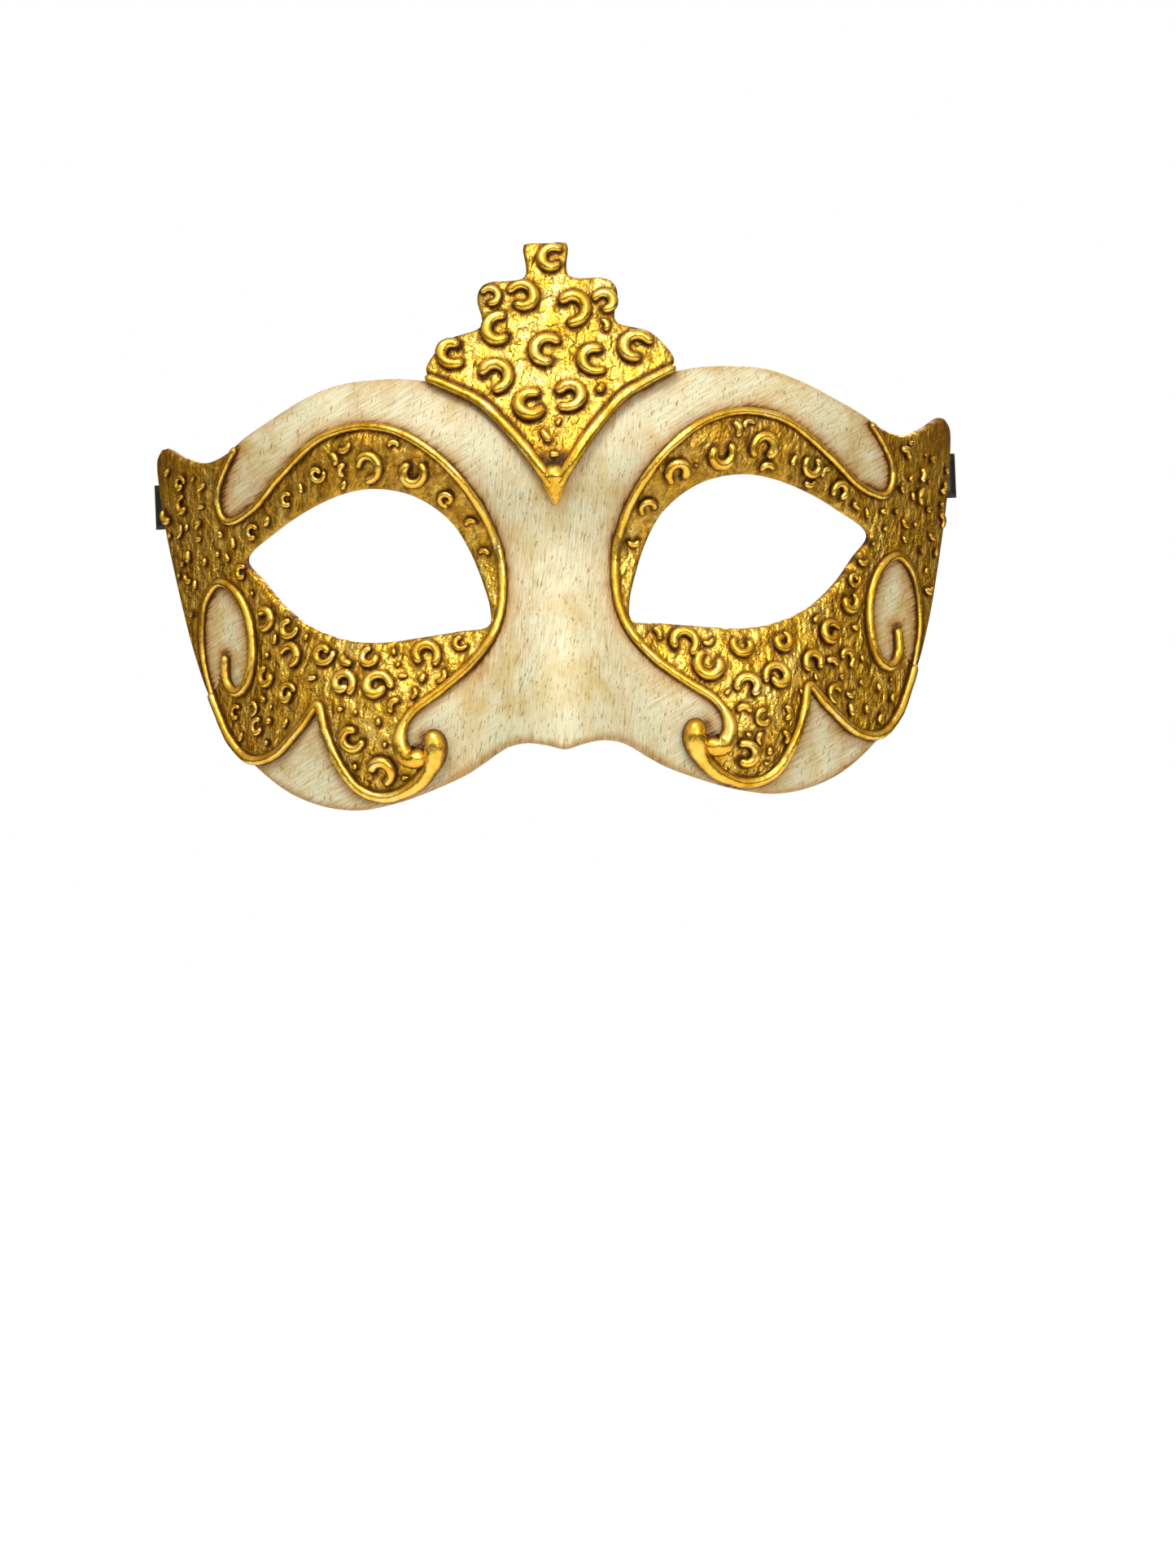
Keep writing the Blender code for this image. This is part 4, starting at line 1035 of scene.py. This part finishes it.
def make_shell(ivory, lining, lines):
    """The papier-mache shell. Gold and ivory meet under the beads, and the inside is a third finish."""
    outline = drawn_in(SHELL_LOOP, RIM_BULGE)
    eye = drawn_in(EYE_LOOP, -RIM_BULGE)
    holes = [eye, flipped(eye)[::-1]]
    border = smooth_route(GILT_BORDER, MEASURING_STEP, closed=True)
    oval = smooth_route(SWIRL_BEAD_ROUTE, MEASURING_STEP)
    routes = [EYE_BEAD_ROUTE, LOBE_BEAD_ROUTE, SWIRL_BEAD_ROUTE, CREST_BEAD_ROUTE]
    beads = [smooth_route(route, MEASURING_STEP) * (side, 1.0) for route in routes for side in (1, -1)]

    def is_gilt(points):
        half = np.abs(points[:, 0])[:, None] * (1.0, 0.0) + points[:, 1][:, None] * (0.0, 1.0)
        return is_inside(half, border) & ~is_inside(half, oval)

    def is_detailed(points):
        beside_bead = np.min([distance_to(points, route) for route in beads], axis=0) < DETAIL_REACH
        return is_gilt(points) | beside_bead

    fine = lattice(outline, holes, FINE_SPACING, is_detailed)
    coarse = lattice(outline, holes, COARSE_SPACING, lambda points: ~is_detailed(points))
    piece, flat, depth = curved_sheet(
        "mask_shell_painted", outline, holes, np.concatenate([fine, coarse]), 0.0, SHELL_THICKNESS
    )
    mesh = piece.data

    gilt = is_gilt(flat)
    near_bead = np.min([distance_to(flat, route) for route in beads], axis=0)
    near_rim = np.min([distance_to(flat, loop, closed=True) for loop in (outline, *holes)], axis=0)
    # Dark at the beads' feet: glaze and wax caught there, and painted shade where the beads meet the ground
    at_bead = np.where(gilt, GILT_AT_BEAD, IVORY_AT_BEAD)
    fade = np.where(gilt, GILT_BEAD_FADE, IVORY_BEAD_FADE)
    patina_and_painted_shade = at_bead * np.exp(-np.maximum(near_bead - BEAD_FOOT, 0.0) / fade)
    out, up = np.abs(flat[:, 0]), flat[:, 1]
    beside_nose = smooth_step(-out, *NOSE_IN) * smooth_step(-up, *NOSE_DOWN)
    haze = (IVORY_HAZE + NOSE_HAZE * beside_nose) * np.exp(-near_bead / HAZE_FADE)
    patina_and_painted_shade = np.maximum(patina_and_painted_shade, np.where(gilt, 0.0, haze))
    low_edge = smooth_step(-up, *NOSE_EDGE_DOWN)
    at_rim = np.where(gilt, AT_RIM, AT_RIM + NOSE_EDGE_WAX * low_edge)
    patina_and_painted_shade = np.maximum(patina_and_painted_shade, at_rim * np.exp(-near_rim / RIM_FADE))
    # Painted shade and glaze round the strokes' feet
    strokes = glaze_and_shade_by_strokes(above_face(flat, STROKE_MIDDLE), lines)
    patina_and_painted_shade = np.maximum(patina_and_painted_shade, np.where(gilt, GROUND_AT_STROKE * strokes, 0.0))
    # Glaze and painted shade by region: little on the cheeks, heavy over the eyes where it paints the shade
    # of the brows and sockets, less on the upper temples, and more on the temples' horns
    glaze_and_shade_by_region = CHEEK_GLAZE + OUTER_CHEEK_GLAZE * smooth_step(out, *OUTER_CHEEK_OUT)
    glaze_and_shade_by_region = np.minimum(glaze_and_shade_by_region + BROW_PAINTED_SHADE * smooth_step(up, *BROW_UP), MOST_GLAZE_AND_SHADE)
    glaze_and_shade_by_region -= TEMPLE_LESS_DARKENING * smooth_step(out, *TEMPLE_OUT) * smooth_step(up, *TEMPLE_UP)
    glaze_and_shade_by_region += HORN_DARKENING * smooth_step(out, *HORN_OUT) * smooth_step(up, *HORN_UP)
    patina_and_painted_shade = np.maximum(patina_and_painted_shade, np.where(gilt, glaze_and_shade_by_region, 0.0))
    set_attribute(mesh, "patina_and_painted_shade", np.maximum(patina_and_painted_shade, INSIDE_GLAZE * smooth_step(depth, *INSIDE_DEPTH)))

    for material in (ivory, GOLD_GROUND, lining):
        mesh.materials.append(material)
    corners = np.array([polygon.vertices[0] for polygon in mesh.polygons])
    middles = np.empty(len(mesh.polygons) * 3)
    mesh.polygons.foreach_get("center", middles)
    middles = middles.reshape(-1, 3)[:, [0, 2]] / MM
    finish = np.where(depth[corners] > LINING_DEPTH, 2, np.where(is_gilt(middles), 1, 0))
    mesh.polygons.foreach_set("material_index", finish.astype(np.int32))
    hand_made(piece, *SHELL_UNEVENNESS)
    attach(piece, "mask")
    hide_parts("mask_shell")


def make_crest(lines):
    """The crest's plate, gilt all over."""
    outline = drawn_in(smooth_route(mirrored(CREST_OUTLINE), CREST_STEP, closed=True), RIM_BULGE)
    points = lattice(outline, [], CREST_SPACING)
    piece, flat, depth = curved_sheet("crest_gilt", outline, [], points, CREST_HEIGHT, CREST_THICKNESS)
    near_rim = distance_to(flat, outline, closed=True)
    beads = [smooth_route(CREST_BEAD_ROUTE, MEASURING_STEP) * (side, 1.0) for side in (1, -1)]
    near_bead = np.min([distance_to(flat, route) for route in beads], axis=0)
    # Dark at the feet of the crest's beads and strokes: glaze, and painted shade where they meet the plate
    patina_and_painted_shade = CREST_AT_BEAD * np.exp(-np.maximum(near_bead - CREST_BEAD_FOOT, 0.0) / CREST_BEAD_FADE)
    patina_and_painted_shade = np.maximum(patina_and_painted_shade, AT_RIM * np.exp(-near_rim / RIM_FADE))
    strokes = glaze_and_shade_by_strokes(above_face(flat, CREST_HEIGHT + CREST_STROKE_MIDDLE), lines)
    patina_and_painted_shade = np.maximum(patina_and_painted_shade, CREST_AT_STROKE * strokes)
    # Glaze is left down in the V, most of all between the two beads at its point
    down = -flat[:, 1]
    in_v = CREST_V_GLAZE * smooth_step(down, *CREST_V_DOWN)
    in_v = in_v + CREST_POINT_GLAZE * smooth_step(down, *CREST_POINT_DOWN)
    patina_and_painted_shade = np.maximum(patina_and_painted_shade, in_v)
    patina_and_painted_shade = np.maximum(patina_and_painted_shade, CREST_BACK_GLAZE * smooth_step(depth, *CREST_BACK_DEPTH))
    set_attribute(piece.data, "patina_and_painted_shade", patina_and_painted_shade)
    piece.data.materials.append(GOLD_GROUND)
    hand_made(piece, *CREST_UNEVENNESS)
    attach(piece, "mask")
    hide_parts("crest_plaque")


def make_gilt(name, lines, ground, nodes, step=0.5, sides=12, uneven_path=0.12):
    """One piped piece in place of the named nodes. step is the mesh's length along a cord, in millimetres."""
    piece = pipe(name, lines, ground, step, sides, uneven_path)
    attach(piece, "mask")
    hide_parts(*nodes)


def make_beads():
    for side, side_name in SIDES:
        for name, (route, radius, ground, swell, nodes) in BEADS.items():
            line = bead_line(route, radius, side, ground, swell)
            make_gilt(f"{name}_{side_name}_gilt", [line], ground, [f"{node}_{side_name}" for node in nodes])
    # The drop is a thick blob drawn out to a point, half sunk where the two crest beads run into it
    path = smooth_route(DROP_ROUTE, BEAD_STEP)
    widths = DROP_RADIUS * np.interp(np.linspace(0, 1, len(path)), *zip(*DROP_SWELL))
    make_gilt("crest_drop_gilt", [(seen_at(path, DROP_HEIGHT), widths)], DROP_GLAZE_AND_SHADE_LEVEL, ["crest_drop"])


def make_strokes(lines):
    for _, side_name in SIDES:
        nodes = [
            f"{group}_curl_{side_name}_{number}"
            for group, count in FACE_CURL_COUNTS.items() for number in range(1, count + 1)
        ]
        make_gilt(f"face_curls_{side_name}_gilt", lines[side_name], 0.0, nodes, 0.45, 8, 0.25)
    nodes = [f"crest_curl_{number:02d}" for number in range(1, CREST_CURL_COUNT + 1)]
    make_gilt("crest_curls_gilt", lines["crest"], CREST_HEIGHT, nodes, 0.4, 10, 0.25)


# ---------------------------------------------------------------- ribbons

def inner_face(x, clearance):
    """Plan point behind the shell's inner face at the ribbon's height."""
    return above_face(np.array([[x, RIBBON_Z]]), -(SHELL_THICKNESS + clearance))[0, :2]


def ribbon_path():
    """The ribbon's run in plan on the wearer's left: glued tab, slack fold past the temple's edge, lead and
    roll. Also where the temple's edge is, and the way inwards from it."""
    edge = inner_face(RIBBON_EDGE_X, 0.0)
    inward = -face_normals(np.array([RIBBON_EDGE_X]), np.array([RIBBON_Z]))[0, :2]
    inward /= np.linalg.norm(inward)
    back = np.array([-inward[1], inward[0]])
    back *= np.sign(back[1])

    def plan(distance_back, distance_inward):
        return edge + distance_back * back + distance_inward * inward

    tab_depth = TAB_CLEARANCE + RIBBON_THICKNESS / 2
    path = [inner_face(x, tab_depth) for x in np.linspace(RIBBON_TAB_START_X, RIBBON_TAB_END_X, 9)]
    roll_middle = plan(ROLL_BACK, ROLL_INWARD)
    lead_back = ROLL_BACK + ROLL_RADIUS
    fold = [path[-1], *(plan(*place) for place in RIBBON_FOLD)]
    fold += [plan(lead_back, LEAD_START_INWARD), plan(lead_back, LEAD_MIDDLE_INWARD)]
    path += list(smooth_route(fold, FOLD_STEP)[1:])
    path += [plan(lead_back, inward_by) for inward_by in np.linspace(LEAD_END_INWARD, ROLL_INWARD, 5)[:-1]]
    used = sum(np.linalg.norm(b - a) for a, b in zip(path, path[1:]))
    # An even spiral inwards: its length is the area it covers over the pitch
    left = RIBBON_LENGTH - used
    inner_radius = math.sqrt(ROLL_RADIUS ** 2 - left * ROLL_PITCH / math.pi)
    turns = (ROLL_RADIUS - inner_radius) / ROLL_PITCH
    steps = math.ceil(turns * ROLL_STEPS_PER_TURN)
    for step in range(steps + 1):
        angle = 2 * math.pi * turns * step / steps
        radius = ROLL_RADIUS - ROLL_PITCH * turns * step / steps
        path.append(roll_middle + radius * (math.cos(angle) * back + math.sin(angle) * inward))
    return np.array(path), edge, inward


def make_ribbon(side, side_name, satin):
    """One tie: its glued tab, a slack fold past the temple's edge, a lead and a roll, as one strip of satin.
    """
    path, edge, inward = ribbon_path()
    rows = np.linspace(-RIBBON_WIDTH / 2, RIBBON_WIDTH / 2, RIBBON_ROWS)
    verts = [(side * x, y, RIBBON_Z + row) for x, y in path for row in rows]
    count = len(rows)
    faces = [
        (i * count + j, (i + 1) * count + j, (i + 1) * count + j + 1, i * count + j + 1)
        for i in range(len(path) - 1) for j in range(count - 1)
    ]
    mesh = make_mesh(f"tie_ribbon_{side_name}", verts, faces)
    along = np.concatenate([[0], np.cumsum(np.linalg.norm(np.diff(path, axis=0), axis=1))])
    layer = mesh.uv_layers.new(name="ribbon")
    for loop in mesh.loops:
        i, j = divmod(loop.vertex_index, count)
        layer.data[loop.index].uv = (rows[j], along[i])
    piece = make_strip(mesh, RIBBON_THICKNESS, satin)
    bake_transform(piece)
    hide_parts(f"ribbon_tab_{side_name}", f"ribbon_lead_{side_name}", f"ribbon_roll_{side_name}")


def make_patch(side, side_name, paper, seed):
    """A torn rectangle of paper over the ribbon's glued end, pressed down round it."""
    columns, rows = PATCH_COLUMNS, PATCH_ROWS
    generator = np.random.default_rng(seed)
    torn = generator.uniform(-PATCH_TEAR, PATCH_TEAR, (4, max(columns, rows) + 1))
    verts = []
    for i in range(columns + 1):
        for j in range(rows + 1):
            u, v = i / columns, j / rows
            start = PATCH_START_X + torn[0, j]
            end = PATCH_END_X + PATCH_END_TEAR * torn[1, j]
            low = -PATCH_HEIGHT / 2 + torn[2, i]
            high = PATCH_HEIGHT / 2 + torn[3, i]
            x, z = start + (end - start) * u, RIBBON_Z + low + (high - low) * v
            over = 1.0 - smooth_step(abs(z - RIBBON_Z), *STEP_OVER_TAB_Z)
            over *= smooth_step(x, *STEP_OVER_TAB_X)
            clearance = PATCH_CLEARANCE + PATCH_THICKNESS + over * (TAB_CLEARANCE + RIBBON_THICKNESS)
            point = above_face(np.array([[x, z]]), -(SHELL_THICKNESS + clearance))[0]
            verts.append((side * point[0], point[1], point[2]))
    count = rows + 1
    faces = [
        (i * count + j, i * count + j + 1, (i + 1) * count + j + 1, (i + 1) * count + j)
        for i in range(columns) for j in range(rows)
    ]
    mesh = make_mesh(f"ribbon_patch_{side_name}_paper", verts, faces)
    piece = make_strip(mesh, PATCH_THICKNESS, paper)
    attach(piece, "mask")
    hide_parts(f"ribbon_patch_{side_name}")


# ---------------------------------------------------------------- everything

EYE_LOOP = smooth_route(EYE_OUTLINE, EYE_STEP, closed=True)
SHELL_LOOP = smooth_route(mirrored(SHELL_OUTLINE), SHELL_STEP, closed=True)
make_stage()
GOLD_GROUND = gold_leaf("antiqued_gold_leaf_ground", 0.25, 0.62)
GOLD = gold_leaf("antiqued_gold_leaf_piping", 0.24, 0.10)
PIPING = piping_group()
LEFT_FILLERS = filler_dabs(1, LEFT_STROKES, LEFT_FILLER_SEED)
RIGHT_FILLERS = filler_dabs(-1, RIGHT_STROKES, RIGHT_FILLER_SEED)
STROKE_LINES = {
    "left": stroke_lines(LEFT_STROKES + LEFT_FILLERS, 0.0, LEFT_STROKE_SEED),
    "right": stroke_lines(RIGHT_STROKES + RIGHT_FILLERS, 0.0, RIGHT_STROKE_SEED),
    "crest": stroke_lines(CREST_STROKES, CREST_HEIGHT, CREST_STROKE_SEED),
}
make_shell(brushed_ivory(), umber_lining(), STROKE_LINES["left"] + STROKE_LINES["right"])
make_crest(STROKE_LINES["crest"])
make_beads()
make_strokes(STROKE_LINES)
SATIN, PAPER = black_satin(), patch_paper()
for (SIDE, SIDE_NAME), SEED in zip(SIDES, (LEFT_PATCH_SEED, RIGHT_PATCH_SEED)):
    make_ribbon(SIDE, SIDE_NAME, SATIN)
    make_patch(SIDE, SIDE_NAME, PAPER, SEED)
